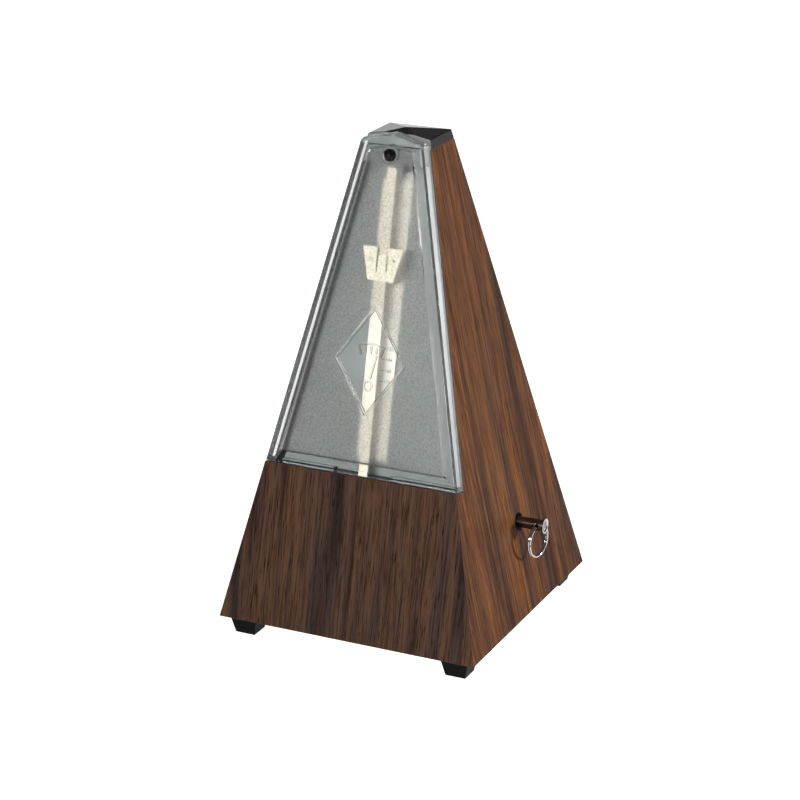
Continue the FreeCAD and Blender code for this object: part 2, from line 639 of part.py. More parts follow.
def wheel(label, teeth, module, face, bore, place, leaf=False):
    """A spur wheel, or a pinion with slimmer and deeper leaves."""
    pitch = value(teeth) * value(module) / 2
    dedendum, foot = (LEAF_DEDENDUM, LEAF_FOOT) if leaf else (WHEEL_DEDENDUM, WHEEL_FOOT)
    points = rim(int(value(teeth)), pitch + ADDENDUM * value(module), pitch - dedendum * value(module), foot)
    thing = named(DOC.addObject("Part::Feature", "Toothed"), label)
    thing.Shape = toothed(points, value(face), value(bore) if bore else 0)
    return bind(thing, place)


def aim(y0, z0, y1, z1):
    """The direction from one arbor to another, in degrees from +y towards +z."""
    return math.degrees(math.atan2(value(z1) - value(z0), value(y1) - value(y0)))


def turned(place, angle):
    return f"{place} * placement(vector(0; 0; 0); rotation({angle:.6f}; 0; 0))"


def bracket_floor_screws():
    """Where the mounting brackets are screwed to the base plate."""
    x = "frame_out + bracket_reach * 0.6"
    return [(upright(sx, sy, "base_top + fit + frame_plate"), "frame_plate + fit + base_thick - 0.6")
            for sx, sy in four(x, "bracket_half * 0.7")]


def bracket_wall_screws(sign, turn):
    """Where a mounting bracket is screwed to its frame plate."""
    x = f"{sign}(frame_out + frame_plate)"
    z = "(frame_foot + bracket_height) / 2"
    return [(f"placement(vector({x}; {y}; {z}); rotation({turn}; 0; 90))", "frame_plate * 2")
            for y in ("-bracket_half * 0.7", "bracket_half * 0.7")]


def bridge_spots():
    """Flange screws as (y, z) for the front bridge, the rear bridge and the escape cock."""
    def spot(v, w):
        return (f"-front_y + ({v}) * cos_y + ({w}) * sin_y", f"ledge_height - ({v}) * sin_y + ({w}) * cos_y")
    return [spot("bridge_front + frame_plate + bridge_half", "-pivot_drop"),
            spot("bridge_rear + frame_plate + bridge_half", "-pivot_drop + 7"),
            ("crown_y", "crown_z + crown_radius + 3.7")]


def from_left(y, z):
    """On the left frame plate's outer face: local z to the left."""
    return f"placement(vector(-frame_out; {y}; {z}); rotation(-90; 0; 90))"


def make_frame():
    outline = rectangle("frame_front", "frame_back", "frame_foot", "frame_top")
    posts = [(y, z) for y in ("pillar_front", "pillar_back") for z in ("pillar_low", "pillar_high")]
    tapped = [(y, z, "screw_shank + running") for y, z in posts]
    level = "(frame_foot + bracket_height) / 2"
    feet = [(y, level, "screw_shank + running") for y in ("-bracket_half * 0.7", "bracket_half * 0.7")]
    front, rear, cock = [(y, z, "screw_shank + running") for y, z in bridge_spots()]
    winding = ("key_y", "key_z", "winding_radius + running")
    middle = ("mid_y", "mid_z", "arbor_radius + running")
    escape = ("crown_y", "crown_z", "arbor_radius + running")
    slab("left_frame_plate", outline, "frame_plate", along_x("-frame_out", "0", "0"),
         tapped + feet + [front, rear, cock, winding, middle, escape])
    slab("right_frame_plate", outline, "frame_plate", along_x("frame_half", "0", "0"),
         tapped + feet + [front, winding, middle])
    pillars, screws = [], []
    for y, z in posts:
        post = cylinder(None, "pillar_radius", "frame_half * 2", along_x("-frame_half", y, z))
        ends = [cylinder(None, "screw_shank + running", "5", along_x(x, y, z))
                for x in ("-frame_half", "frame_half - 5")]
        pillars.append(carve(None, post, ends))
        screws.append(screw(along_x("frame_out", y, z), "frame_plate + 4"))
        screws.append(screw(from_left(y, z), "frame_plate + 4"))
    group("frame_pillars", pillars)
    group("pillar_screws", screws)


def make_mounting():
    foot, top = "base_top + fit", "bracket_height"
    inner, outer = "frame_out", "frame_out + bracket_reach"
    angle = [(inner, foot), (outer, foot), (outer, f"{foot} + frame_plate"),
             (f"{inner} + frame_plate", f"{foot} + frame_plate"), (f"{inner} + frame_plate", top),
             (inner, top)]
    mirrored = [(f"-({x})", z) for x, z in reversed(angle)]
    floor = bracket_floor_screws()
    screws = [screw(place, grip) for place, grip in floor]
    for name, outline, sign, turn in (("right_bracket", angle, "", 90), ("left_bracket", mirrored, "-", -90)):
        walls = bracket_wall_screws(sign, turn)
        blank = slab(None, outline, "bracket_half * 2", along_depth("0", "bracket_half", "0"))
        carve(name, blank, [screw_drill(place, grip) for place, grip in floor + walls])
        screws += [screw(place, grip) for place, grip in walls]
    group("bracket_screws", screws)


def make_bridges():
    front, rear, cock = bridge_spots()
    low, high = "-pivot_drop - bridge_half", "-pivot_drop + bridge_half"
    bearing = ("0", "-pivot_drop", "arbor_radius + running")
    bar = slab(None, rectangle("-frame_half", "frame_half", low, high), "frame_plate",
               on_front("0", "0", "bridge_front + frame_plate"), [bearing])
    flanges = [box(None, "frame_plate", "bridge_half * 2", "bridge_half * 2",
                   on_ledge(x, "bridge_front + frame_plate - 0.01", low))
               for x in ("-frame_half", "frame_half - frame_plate")]
    drills = [cylinder(None, "screw_shank + running", "frame_half * 4", along_x("-frame_half * 2", *front))]
    carve("front_bridge", join(None, [bar] + flanges), drills)
    crest = "-pivot_drop + 10"
    arm = [("-frame_half", high), ("-hub_radius", high), ("-hub_radius", "-pivot_drop - hub_radius"),
           ("hub_radius", "-pivot_drop - hub_radius"), ("hub_radius", crest), ("-frame_half", crest)]
    bar = slab(None, arm, "frame_plate", on_front("0", "0", "bridge_rear + frame_plate"), [bearing])
    flange = box(None, "frame_plate", "bridge_half * 2", f"{crest} - ({high})",
                 on_ledge("-frame_half", "bridge_rear + frame_plate - 0.01", high))
    drill = cylinder(None, "screw_shank + running", "10", along_x("-frame_half - 3", *rear))
    carve("rear_bridge", join(None, [bar, flange]), [drill])
    leg_z = "crown_z + crown_radius + 0.2"
    ear = rectangle("-cock_half", "cock_half", "-cock_half", "crown_radius + 0.2 + frame_plate")
    plate = slab(None, ear, "frame_plate", along_x("-cock_x", "crown_y", "crown_z"),
                 [("0", "0", "arbor_radius + running")])
    leg = box(None, "frame_half - cock_x + 0.5", "cock_half * 2", "frame_plate",
              upright("-frame_half", "crown_y - cock_half", leg_z))
    flange = box(None, "frame_plate", "cock_half * 2", "frame_plate + bridge_half",
                 upright("-frame_half", "crown_y - cock_half", leg_z))
    drill = cylinder(None, "screw_shank + running", "10", along_x("-frame_half - 3", *cock))
    carve("escape_cock", join(None, [plate, leg, flange]), [drill])
    heads = [screw(along_x("frame_out", *front), "frame_plate * 2")]
    for y, z in (front, rear, cock):
        heads.append(screw(from_left(y, z), "frame_plate * 2"))
    group("bridge_screws", heads)


def make_barrel():
    to_mid = aim("key_y", "key_z", "mid_y", "mid_z")
    axis = ("key_y", "key_z")
    pitch = value("barrel_teeth * barrel_module / 2")
    module = value("barrel_module")
    points = rim(int(value("barrel_teeth")), pitch + ADDENDUM * module, pitch - WHEEL_DEDENDUM * module)
    disc = toothed(points, value("barrel_face"), value("winding_radius + running"))
    outer = Part.makeCylinder(value("drum_radius"), value("drum_long + barrel_face"))
    floor = FreeCAD.Vector(0, 0, value("barrel_face"))
    inner = Part.makeCylinder(value("drum_radius - drum_wall"), value("drum_long + 1"), floor)
    below = FreeCAD.Vector(0, 0, -1)
    bore = Part.makeCylinder(value("winding_radius + running"), value("barrel_face") * 3, below)
    drum = named(DOC.addObject("Part::Feature", "Drum"), "barrel")
    drum.Shape = disc.fuse(outer.cut(inner).cut(bore)).removeSplitter()
    bind(drum, turned(along_x("barrel_x", *axis), to_mid))
    lid_x = "barrel_x + barrel_face + drum_long - drum_wall"
    lid = cylinder(None, "drum_radius - drum_wall - 0.02", "drum_wall", along_x(lid_x, *axis))
    hole = cylinder(None, "winding_radius + running", "drum_wall * 3", along_x(f"{lid_x} - drum_wall", *axis))
    carve("barrel_lid", lid, [hole])
    make_mainspring()
    shaft = cylinder(None, "winding_radius", "frame_out + key_start + key_socket - fit * 2",
                     along_x("-frame_out + fit", *axis))
    core = cylinder(None, "core_radius", "drum_long - drum_wall - 1",
                    along_x("barrel_x + barrel_face + 0.5", *axis))
    join("winding_arbor", [shaft, core])


def make_mainspring():
    """A coiled strip of half-circle runs, each wider than the last, between the core and the drum."""
    turns = int(value("spring_turns"))
    thick = value("spring_thick")
    first = value("core_radius + 0.6")
    last = value("drum_radius - drum_wall - 0.3") - thick
    step = (last - first) / (2 * turns)
    inner_edges, outer_edges = [], []
    centre, radius, sign = 0.0, first, 1
    for _ in range(2 * turns):
        for edges, size in ((inner_edges, radius), (outer_edges, radius + thick)):
            start = FreeCAD.Vector(centre + sign * size, 0, 0)
            crest = FreeCAD.Vector(centre, sign * size, 0)
            finish = FreeCAD.Vector(centre - sign * size, 0, 0)
            edges.append(Part.Arc(start, crest, finish).toShape())
        radius += step / 2
        centre += sign * step / 2
        sign = -sign
    caps = [Part.makeLine(inner_edges[0].Vertexes[0].Point, outer_edges[0].Vertexes[0].Point),
            Part.makeLine(inner_edges[-1].Vertexes[-1].Point, outer_edges[-1].Vertexes[-1].Point)]
    outline = Part.Wire(Part.__sortEdges__(inner_edges + outer_edges + caps))
    strip = named(DOC.addObject("Part::Feature", "Strip"), "mainspring")
    strip.Shape = Part.Face(outline).extrude(FreeCAD.Vector(0, 0, value("drum_long - drum_wall - 1")))
    bind(strip, along_x("barrel_x + barrel_face + 0.5", "key_y", "key_z"))


def make_train():
    mid, crown = ("mid_y", "mid_z"), ("crown_y", "crown_z")
    gap = 180 / value("pinion_teeth")
    to_barrel = aim(*mid, "key_y", "key_z") + gap
    to_crown = aim(*mid, *crown)
    to_mid = aim(*crown, *mid) + 180 / value("escape_leaves")
    leaves = wheel(None, "pinion_teeth", "barrel_module", "barrel_face + 2", None,
                   turned(along_x("barrel_x - 1", *mid), to_barrel), leaf=True)
    shaft = cylinder(None, "arbor_radius", "frame_out * 2 - fit * 2", along_x("-frame_out + fit", *mid))
    join("intermediate_pinion", [leaves, shaft])
    wheel("intermediate_wheel", "wheel_teeth", "wheel_module", "wheel_face", "arbor_radius + press",
          turned(along_x("wheel_x", *mid), to_crown))
    leaves = wheel(None, "escape_leaves", "wheel_module", "wheel_face + 2", None,
                   turned(along_x("wheel_x - 1", *crown), to_mid), leaf=True)
    shaft = cylinder(None, "arbor_radius", "frame_out - crown_back + frame_plate - fit",
                     along_x("-frame_out + fit", *crown))
    join("escape_pinion", [leaves, shaft])
    make_crown_wheel(crown)


def make_crown_wheel(crown):
    """A cup with pointed teeth on its rim, facing the pendulum arbor."""
    cup = cylinder(None, "crown_radius", "crown_back - crown_tip", along_x("-crown_back", *crown))
    hollow = cylinder(None, "crown_radius - crown_wall", "crown_back",
                      along_x("-crown_back + crown_floor", *crown))
    hub = cylinder(None, "arbor_radius + crown_floor", "crown_floor * 2.5", along_x("-crown_back", *crown))
    bore = cylinder(None, "arbor_radius + press", "crown_back + 1", along_x("-crown_back - 1", *crown))
    count = int(value("crown_teeth"))
    half = "(0.8 * pi * crown_radius / crown_teeth)"
    notch = [(f"-{half}", "-0.02"), (half, "crown_tooth"), (f"-{half}", "crown_tooth")]
    notches = []
    for index in range(count):
        turn = turned(along_x("-crown_tip - crown_tooth", *crown), 360 * index / count)
        place = (f"{turn} * placement(vector(crown_radius + 1; 0; 0); rotation(90; 0; 90))"
                 f" * placement(vector(0; 0; -crown_wall * 3); {STAND})")
        notches.append(slab(None, notch, "crown_wall * 3", place))
    body = carve(None, join(None, [carve(None, cup, [hollow]), hub]), [bore])
    carve("escape_wheel", body, [group(None, notches)])


# One ratchet tooth: whether each corner is on the tip, and its place as a share of the pitch.
RATCHET_TOOTH = ((False, 0.06), (True, 0.62), (True, 0.78), (False, 0.90))


def make_winding():
    axis = ("key_y", "key_z")
    radius, depth = value("ratchet_radius"), value("ratchet_depth")
    teeth = int(value("ratchet_teeth"))
    points = []
    for tooth in range(teeth):
        for size, share in RATCHET_TOOTH:
            size = radius if size else radius - depth
            angle = (tooth + share) * 2 * math.pi / teeth
            points.append(FreeCAD.Vector(size * math.cos(angle), size * math.sin(angle), 0))
    ratchet = named(DOC.addObject("Part::Feature", "Ratchet"), "ratchet_wheel")
    ratchet.Shape = toothed(points + points[:1], value("ratchet_face"), value("winding_radius + press"))
    bind(ratchet, turned(along_x("ratchet_x", *axis), 90))
    shaft = cylinder(None, "key_radius", "key_end - key_start", along_x("key_start", *axis))
    collar = cylinder(None, "key_collar", "key_collar_long - key_chamfer",
                      along_x("key_end - key_collar_long", *axis))
    nose = cone(None, "key_collar", "key_collar - key_chamfer", "key_chamfer",
                along_x("key_end - key_chamfer", *axis))
    socket = cylinder(None, "winding_radius + press * 2", "key_socket + 1", along_x("key_start - 1", *axis))
    cross = "placement(vector(ring_x; key_y; key_z); rotation(90 - ring_yaw; 90; 0))"
    hole = cylinder(None, "ring_hole", "key_radius * 4",
                    f"{cross} * placement(vector(0; 0; -key_radius * 2); {STAND})")
    carve("key_shaft", join(None, [shaft, collar, nose]), [socket, hole])
    ring = named(DOC.addObject("Part::Torus", "Ring"), "key_ring")
    bind(ring, "placement(vector(ring_x; key_y; key_z - ring_radius); rotation(90 - ring_yaw; 0; 90))",
         Radius1="ring_radius", Radius2="ring_wire", Angle3="360 - ring_split")


def make_click():
    """The click, its screw, and the leaf spring that stands behind it."""
    pivot = ("click_y", "click_z")
    drop = "nose_z - click_z"
    nose_half = "click_lift"
    arm = [("0", "-click_half"), ("click_back - 1.6", f"{drop} + 0.9"), (f"click_back - {nose_half}", drop),
           (f"click_back + {nose_half}", drop), ("click_back + 0.5", f"{drop} + click_boss"),
           ("0", "click_half")]
    blade = slab(None, arm, "ratchet_face", along_x("ratchet_x", *pivot))
    boss = cylinder(None, "click_boss", "ratchet_face", along_x("ratchet_x", *pivot))
    bore = cylinder(None, "arbor_radius + running", "ratchet_face * 3",
                    along_x("ratchet_x - ratchet_face", *pivot))
    carve("click", join(None, [blade, boss]), [bore])
    head_x = "ratchet_x + ratchet_face + 0.2"
    post = cylinder(None, "arbor_radius", f"{head_x} - frame_out", along_x("frame_out", *pivot))
    head = cylinder(None, "screw_head", "1", along_x(head_x, *pivot))
    join("click_screw", [post, head])
    leaf = [("-leaf_half", "leaf_high"), ("leaf_half", "leaf_low"), ("leaf_half", "leaf_low + leaf_thick"),
            ("-leaf_half", "leaf_high + leaf_thick")]
    strip = slab(None, leaf, "ratchet_face", along_x("ratchet_x", *pivot))
    stand = cylinder(None, "leaf_stand", "ratchet_x + ratchet_face - frame_out",
                     along_x("frame_out", "click_y - leaf_half", "click_z + leaf_high + leaf_thick / 2"))
    join("click_spring", [strip, stand])


def check_and_write():
    """Refuse a failed object or a bad shape, then write one STEP file for each node."""
    for thing in DOC.Objects:
        state = [word for word in thing.State if word in ("Invalid", "Error")]
        if state:
            raise SystemExit(f"{thing.Label} ({thing.TypeId}) is {state}")
    os.makedirs("parts", exist_ok=True)
    for thing in NODES:
        shape = thing.Shape
        if shape.isNull() or not shape.isValid() or shape.Volume <= 0:
            raise SystemExit(f"{thing.Label} has no sound shape")
    for thing in NODES:
        thing.Shape.exportStep(f"parts/{thing.Label}.step")
        print(f"{thing.Label}: {len(thing.Shape.Solids)} solids, {thing.Shape.Volume:.1f} mm3")


DOC = FreeCAD.newDocument("Metronome")
make_sheets(DOC)
make_casing()
make_base()
make_front_fittings()
make_cover()
make_pendulum()
make_weight()
make_frame()
make_mounting()
make_bridges()
make_barrel()
make_train()
make_winding()
make_click()
DOC.recompute()
check_and_write()
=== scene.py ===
"""A wind-up pyramid metronome: walnut casing, frosted cover, pendulum, clockwork and winding key.

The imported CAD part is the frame. The visible pieces are modelled again with their worked edges, and
the clockwork keeps its CAD shapes under finishes of its own. Lengths are in metres.
"""

from __future__ import annotations

import json
import logging
import math
from dataclasses import dataclass, field
from enum import Enum
from typing import Callable, Sequence

import bmesh
import bpy
from mathutils import Euler, Matrix, Vector

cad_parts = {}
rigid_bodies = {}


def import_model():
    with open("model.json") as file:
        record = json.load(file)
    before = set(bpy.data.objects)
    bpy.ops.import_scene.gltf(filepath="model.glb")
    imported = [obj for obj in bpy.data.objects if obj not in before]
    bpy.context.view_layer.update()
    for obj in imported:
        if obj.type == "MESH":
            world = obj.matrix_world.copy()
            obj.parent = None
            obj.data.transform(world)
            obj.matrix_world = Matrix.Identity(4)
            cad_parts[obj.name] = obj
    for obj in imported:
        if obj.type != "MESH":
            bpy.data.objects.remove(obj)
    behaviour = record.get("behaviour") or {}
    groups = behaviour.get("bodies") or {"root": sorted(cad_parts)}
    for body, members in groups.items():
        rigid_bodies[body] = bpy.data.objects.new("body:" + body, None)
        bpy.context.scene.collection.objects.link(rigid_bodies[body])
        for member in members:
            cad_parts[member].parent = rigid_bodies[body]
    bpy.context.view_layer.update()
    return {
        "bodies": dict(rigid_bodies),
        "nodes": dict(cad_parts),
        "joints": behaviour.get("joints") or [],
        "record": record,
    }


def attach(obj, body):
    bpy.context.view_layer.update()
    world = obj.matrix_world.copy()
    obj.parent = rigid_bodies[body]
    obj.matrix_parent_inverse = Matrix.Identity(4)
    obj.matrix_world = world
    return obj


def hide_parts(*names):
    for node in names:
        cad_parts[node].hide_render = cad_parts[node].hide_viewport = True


LOG = logging.getLogger("metronome")
MM = 0.001
# Scale of the slow change of tone, and roughness of a clear coat
CLOUD = (45.0, 45.0, 45.0)
COAT_ROUGH = 0.08
# Degrees above which an edge is rounded, and below which neighbouring faces are one
ROUND_ANGLE = 32.0
FLAT_WITHIN = 0.4
# Metres within which vertices are one
MERGE_WITHIN = 2e-6

Socket = bpy.types.NodeSocket
Piece = bpy.types.Object
Colour = tuple[float, float, float]
FaceTest = Callable[[Vector, Vector], bool]
PointTest = Callable[[Vector], bool]


# Finishes


def linear(colour: Colour) -> tuple[float, float, float, float]:
    """Turn a display colour, 0 to 255 each, into a shader's linear colour.

    Args:
        colour: Red, green and blue as they show on a screen.

    Returns:
        The linear colour with full alpha.
    """
    parts = [part / 255.0 for part in colour]
    red, green, blue = (p / 12.92 if p <= 0.04045 else ((p + 0.055) / 1.055) ** 2.4 for p in parts)
    return red, green, blue, 1.0


class Graph:
    """A material's node tree, with short ways to add and join its nodes."""

    def __init__(self, name: str) -> None:
        """Start a material that has its Principled shader and nothing else.

        Args:
            name: The material's name.
        """
        self.material: bpy.types.Material = bpy.data.materials.new(name)
        self.material.use_nodes = True
        self.tree = self.material.node_tree
        self.shader = self.tree.nodes["Principled BSDF"]
        self.output = self.tree.nodes["Material Output"]

    def add(self, kind: str, **settings: object) -> bpy.types.Node:
        """Add a node of one type.

        Args:
            kind: Its type.
            settings: Its properties.

        Returns:
            The node.
        """
        node = self.tree.nodes.new(kind)
        for name, value in settings.items():
            setattr(node, name, value)
        return node

    def join(self, output: Socket, socket: Socket) -> None:
        """Link an output to an input."""
        self.tree.links.new(output, socket)

    def shade(self, **values: object) -> None:
        """Set sockets of the Principled shader, with underscores for the spaces in their names."""
        for name, value in values.items():
            self.shader.inputs[name.replace("_", " ")].default_value = value

    def place(self, scale: Sequence[float], turn: Sequence[float] = (0, 0, 0)) -> Socket:
        """Object coordinates, stretched and turned.

        Args:
            scale: Repeats in one metre along X, Y and Z.
            turn: Turn about X, Y and Z, in degrees.

        Returns:
            The vector output.
        """
        coordinates = self.add("ShaderNodeTexCoord")
        mapping = self.add("ShaderNodeMapping")
        mapping.inputs["Scale"].default_value = scale
        mapping.inputs["Rotation"].default_value = [math.radians(angle) for angle in turn]
        self.join(coordinates.outputs["Object"], mapping.inputs["Vector"])
        return mapping.outputs["Vector"]

    def noise(self, vector: Socket, detail: float, rough: float, distortion: float = 0.0) -> Socket:
        """Fractal noise over a vector.

        Args:
            vector: Where it is read.
            detail: Its octaves.
            rough: Share of each finer octave.
            distortion: How far the vector is bent.

        Returns:
            The noise, from about 0 to 1.
        """
        node = self.add("ShaderNodeTexNoise")
        node.inputs["Scale"].default_value = 1.0
        node.inputs["Detail"].default_value = detail
        node.inputs["Roughness"].default_value = rough
        node.inputs["Distortion"].default_value = distortion
        self.join(vector, node.inputs["Vector"])
        return node.outputs["Fac"]

    def ramp(self, factor: Socket, stops: Sequence[tuple[float, Colour]]) -> Socket:
        """Lay colours along a factor.

        Args:
            factor: The factor.
            stops: Places from 0 to 1, each with its display colour.

        Returns:
            The colour.
        """
        node = self.add("ShaderNodeValToRGB")
        band = node.color_ramp
        while len(band.elements) < len(stops):
            band.elements.new(0.5)
        for element, (place, colour) in zip(band.elements, stops):
            element.position = place
            element.color = linear(colour)
        self.join(factor, node.inputs["Fac"])
        return node.outputs["Color"]

    def span(self, factor: Socket, low: float, high: float, start: float = 0.0,
             end: float = 1.0) -> Socket:
        """Spread a factor from one range onto another, held at both ends.

        Args:
            factor: The factor.
            low: Start of its range.
            high: End of its range.
            start: What low becomes.
            end: What high becomes.

        Returns:
            The new factor.
        """
        node = self.add("ShaderNodeMapRange")
        for name, value in (("From Min", low), ("From Max", high), ("To Min", start), ("To Max", end)):
            node.inputs[name].default_value = value
        self.join(factor, node.inputs["Value"])
        return node.outputs["Result"]

    def darken(self, colour: Socket, factor: Socket, tone: Colour) -> Socket:
        """Multiply a colour by a tone as far as a factor says."""
        return self.blend(colour, factor, tone, "MULTIPLY")

    def blend(self, colour: Socket, factor: Socket, tone: Colour,
              how: str = "MIX") -> Socket:
        """Bring a tone over a colour.

        Args:
            colour: The colour below.
            factor: How far the tone covers it.
            tone: The display colour above.
            how: Blender's name for the blend.

        Returns:
            The blended colour.
        """
        node = self.add("ShaderNodeMix", data_type="RGBA", blend_type=how)
        sockets = [s for s in node.inputs if s.type == "RGBA"]
        sockets[1].default_value = linear(tone)
        self.join(factor, node.inputs["Factor"])
        self.join(colour, sockets[0])
        return next(s for s in node.outputs if s.type == "RGBA")

    def bump(self, height: Socket, strength: float, depth: float) -> None:
        """Give the Principled shader relief.

        Args:
            height: The height, from 0 to 1.
            strength: How much of it shows.
            depth: Its depth in metres.
        """
        node = self.add("ShaderNodeBump")
        node.inputs["Strength"].default_value = strength
        node.inputs["Distance"].default_value = depth
        self.join(height, node.inputs["Height"])
        self.join(node.outputs["Normal"], self.shader.inputs["Normal"])


class Grain(Enum):
    """How a veneer's figure is scaled on X, Y and Z: quick across its panel and slow up it."""

    FRONT = (1.0, 0.12, 0.03)
    SIDE = (0.12, 1.0, 0.03)


@dataclass(frozen=True)
class Veneer:
    """Walnut veneer under satin lacquer, its grain up the panel."""

    name: str
    grain: Grain
    stops: tuple[tuple[float, Colour], ...]
    figure: float = 95.0
    sheen: float = 0.5
    pore: Colour = (96, 84, 80)
    warm: Colour = (108, 65, 26)
    warmth: float = 0.0
    streaks: float = 3.1
    streak_tone: Colour = (160, 146, 144)
    fibres: float = 13.0
    fibre_tone: Colour = (150, 138, 134)
    pores_across: float = 2600.0
    pores_along: float = 110.0
    pore_depth: float = 0.05 * MM

    def make(self) -> bpy.types.Material:
        """Build the material.

        Returns:
            The material.
        """
        graph = Graph(self.name)
        base = Vector(self.grain.value)
        wide = graph.noise(graph.place(base * self.figure), 4.0, 0.5, 0.5)
        streak = graph.noise(graph.place(base * self.figure * self.streaks), 3.0, 0.5, 0.3)
        fine = graph.noise(graph.place(base * self.figure * self.fibres), 3.0, 0.6)
        colour = graph.ramp(wide, self.stops)
        colour = graph.blend(colour, graph.span(streak, 0.52, 0.72, 0.0, self.warmth), self.warm)
        colour = graph.darken(colour, graph.span(streak, 0.48, 0.30, 0.0, 0.7), self.streak_tone)
        colour = graph.darken(colour, graph.span(fine, 0.45, 0.68, 0.0, 0.85), self.fibre_tone)
        cells = [axis * self.pores_across for axis in self.grain.value[:2]] + [self.pores_along]
        pores = graph.noise(graph.place(cells), 2.0, 0.5)
        colour = graph.darken(colour, graph.span(pores, 0.58, 0.72), self.pore)
        graph.join(colour, graph.shader.inputs["Base Color"])
        graph.join(graph.span(fine, 0.3, 0.7, self.sheen - 0.05, self.sheen + 0.07),
                   graph.shader.inputs["Roughness"])
        graph.shade(Specular_IOR_Level=0.015)
        graph.bump(graph.span(pores, 0.55, 0.72, 1.0, 0.0), 0.3, self.pore_depth)
        return graph.material


@dataclass(frozen=True)
class Worked:
    """A metal, rubber, enamel or moulding whose surface varies a little along its working marks."""

    name: str
    dark: Colour
    light: Colour
    metallic: float = 0.0
    rough: tuple[float, float] = (0.35, 0.5)
    marks: tuple[float, float, float] = (600.0, 600.0, 600.0)
    relief: float = 0.1
    depth: float = 0.04 * MM
    coat: float = 0.0
    specular: float = 0.5

    def make(self) -> bpy.types.Material:
        """Build the material.

        Returns:
            The material.
        """
        graph = Graph(self.name)
        fine = graph.noise(graph.place(self.marks), 4.0, 0.6)
        cloud = graph.noise(graph.place(CLOUD), 3.0, 0.5)
        tone = graph.ramp(cloud, ((0.32, self.dark), (0.68, self.light)))
        graph.join(tone, graph.shader.inputs["Base Color"])
        graph.join(graph.span(fine, 0.3, 0.7, *self.rough), graph.shader.inputs["Roughness"])
        graph.shade(Metallic=self.metallic, Coat_Weight=self.coat, Coat_Roughness=COAT_ROUGH,
                    Specular_IOR_Level=self.specular)
        graph.bump(fine, self.relief, self.depth)
        return graph.material


@dataclass(frozen=True)
class ClearMoulding:
    """Clear plastic. Lamps shine through it, and a frosted face blurs what stands behind it."""

    name: str
    tint: Colour
    rough: float
    speckle: float = 0.0
    shadow: Colour = (235, 238, 238)
    ior: float = 1.49
    grain: float = 1300.0
    grain_depth: float = 0.03 * MM
    ripple: float = 60.0
    ripple_depth: float = 0.3 * MM

    def make(self) -> bpy.types.Material:
        """Build the material.

        Returns:
            The material.
        """
        graph = Graph(self.name)
        graph.shade(Base_Color=linear(self.tint), Transmission_Weight=1.0, IOR=self.ior,
                    Roughness=self.rough)
        if self.speckle:
            grains = graph.noise(graph.place([self.grain] * 3), 2.0, 0.6)
            dim, lit = (tuple(part * share for part in self.tint) for share in (0.8, 1.1))
            tone = graph.ramp(grains, ((0.36, dim), (0.64, lit)))
            graph.join(tone, graph.shader.inputs["Base Color"])
            graph.bump(grains, self.speckle, self.grain_depth)
        else:
            ripple = graph.noise(graph.place([self.ripple] * 3), 2.0, 0.5)
            graph.bump(ripple, 0.04, self.ripple_depth)
        path = graph.add("ShaderNodeLightPath")
        through = graph.add("ShaderNodeBsdfTransparent")
        through.inputs["Color"].default_value = linear(self.shadow)
        mix = graph.add("ShaderNodeMixShader")
        graph.join(path.outputs["Is Shadow Ray"], mix.inputs["Fac"])
        graph.join(graph.shader.outputs["BSDF"], mix.inputs[1])
        graph.join(through.outputs["BSDF"], mix.inputs[2])
        graph.join(mix.outputs["Shader"], graph.output.inputs["Surface"])
        return graph.material


FRONT_STOPS = ((0.30, (50, 40, 38)), (0.45, (69, 55, 49)), (0.56, (84, 61, 47)), (0.70, (60, 47, 44)))
SIDE_STOPS = ((0.28, (42, 29, 26)), (0.42, (62, 40, 28)), (0.55, (82, 51, 30)), (0.68, (64, 41, 29)))


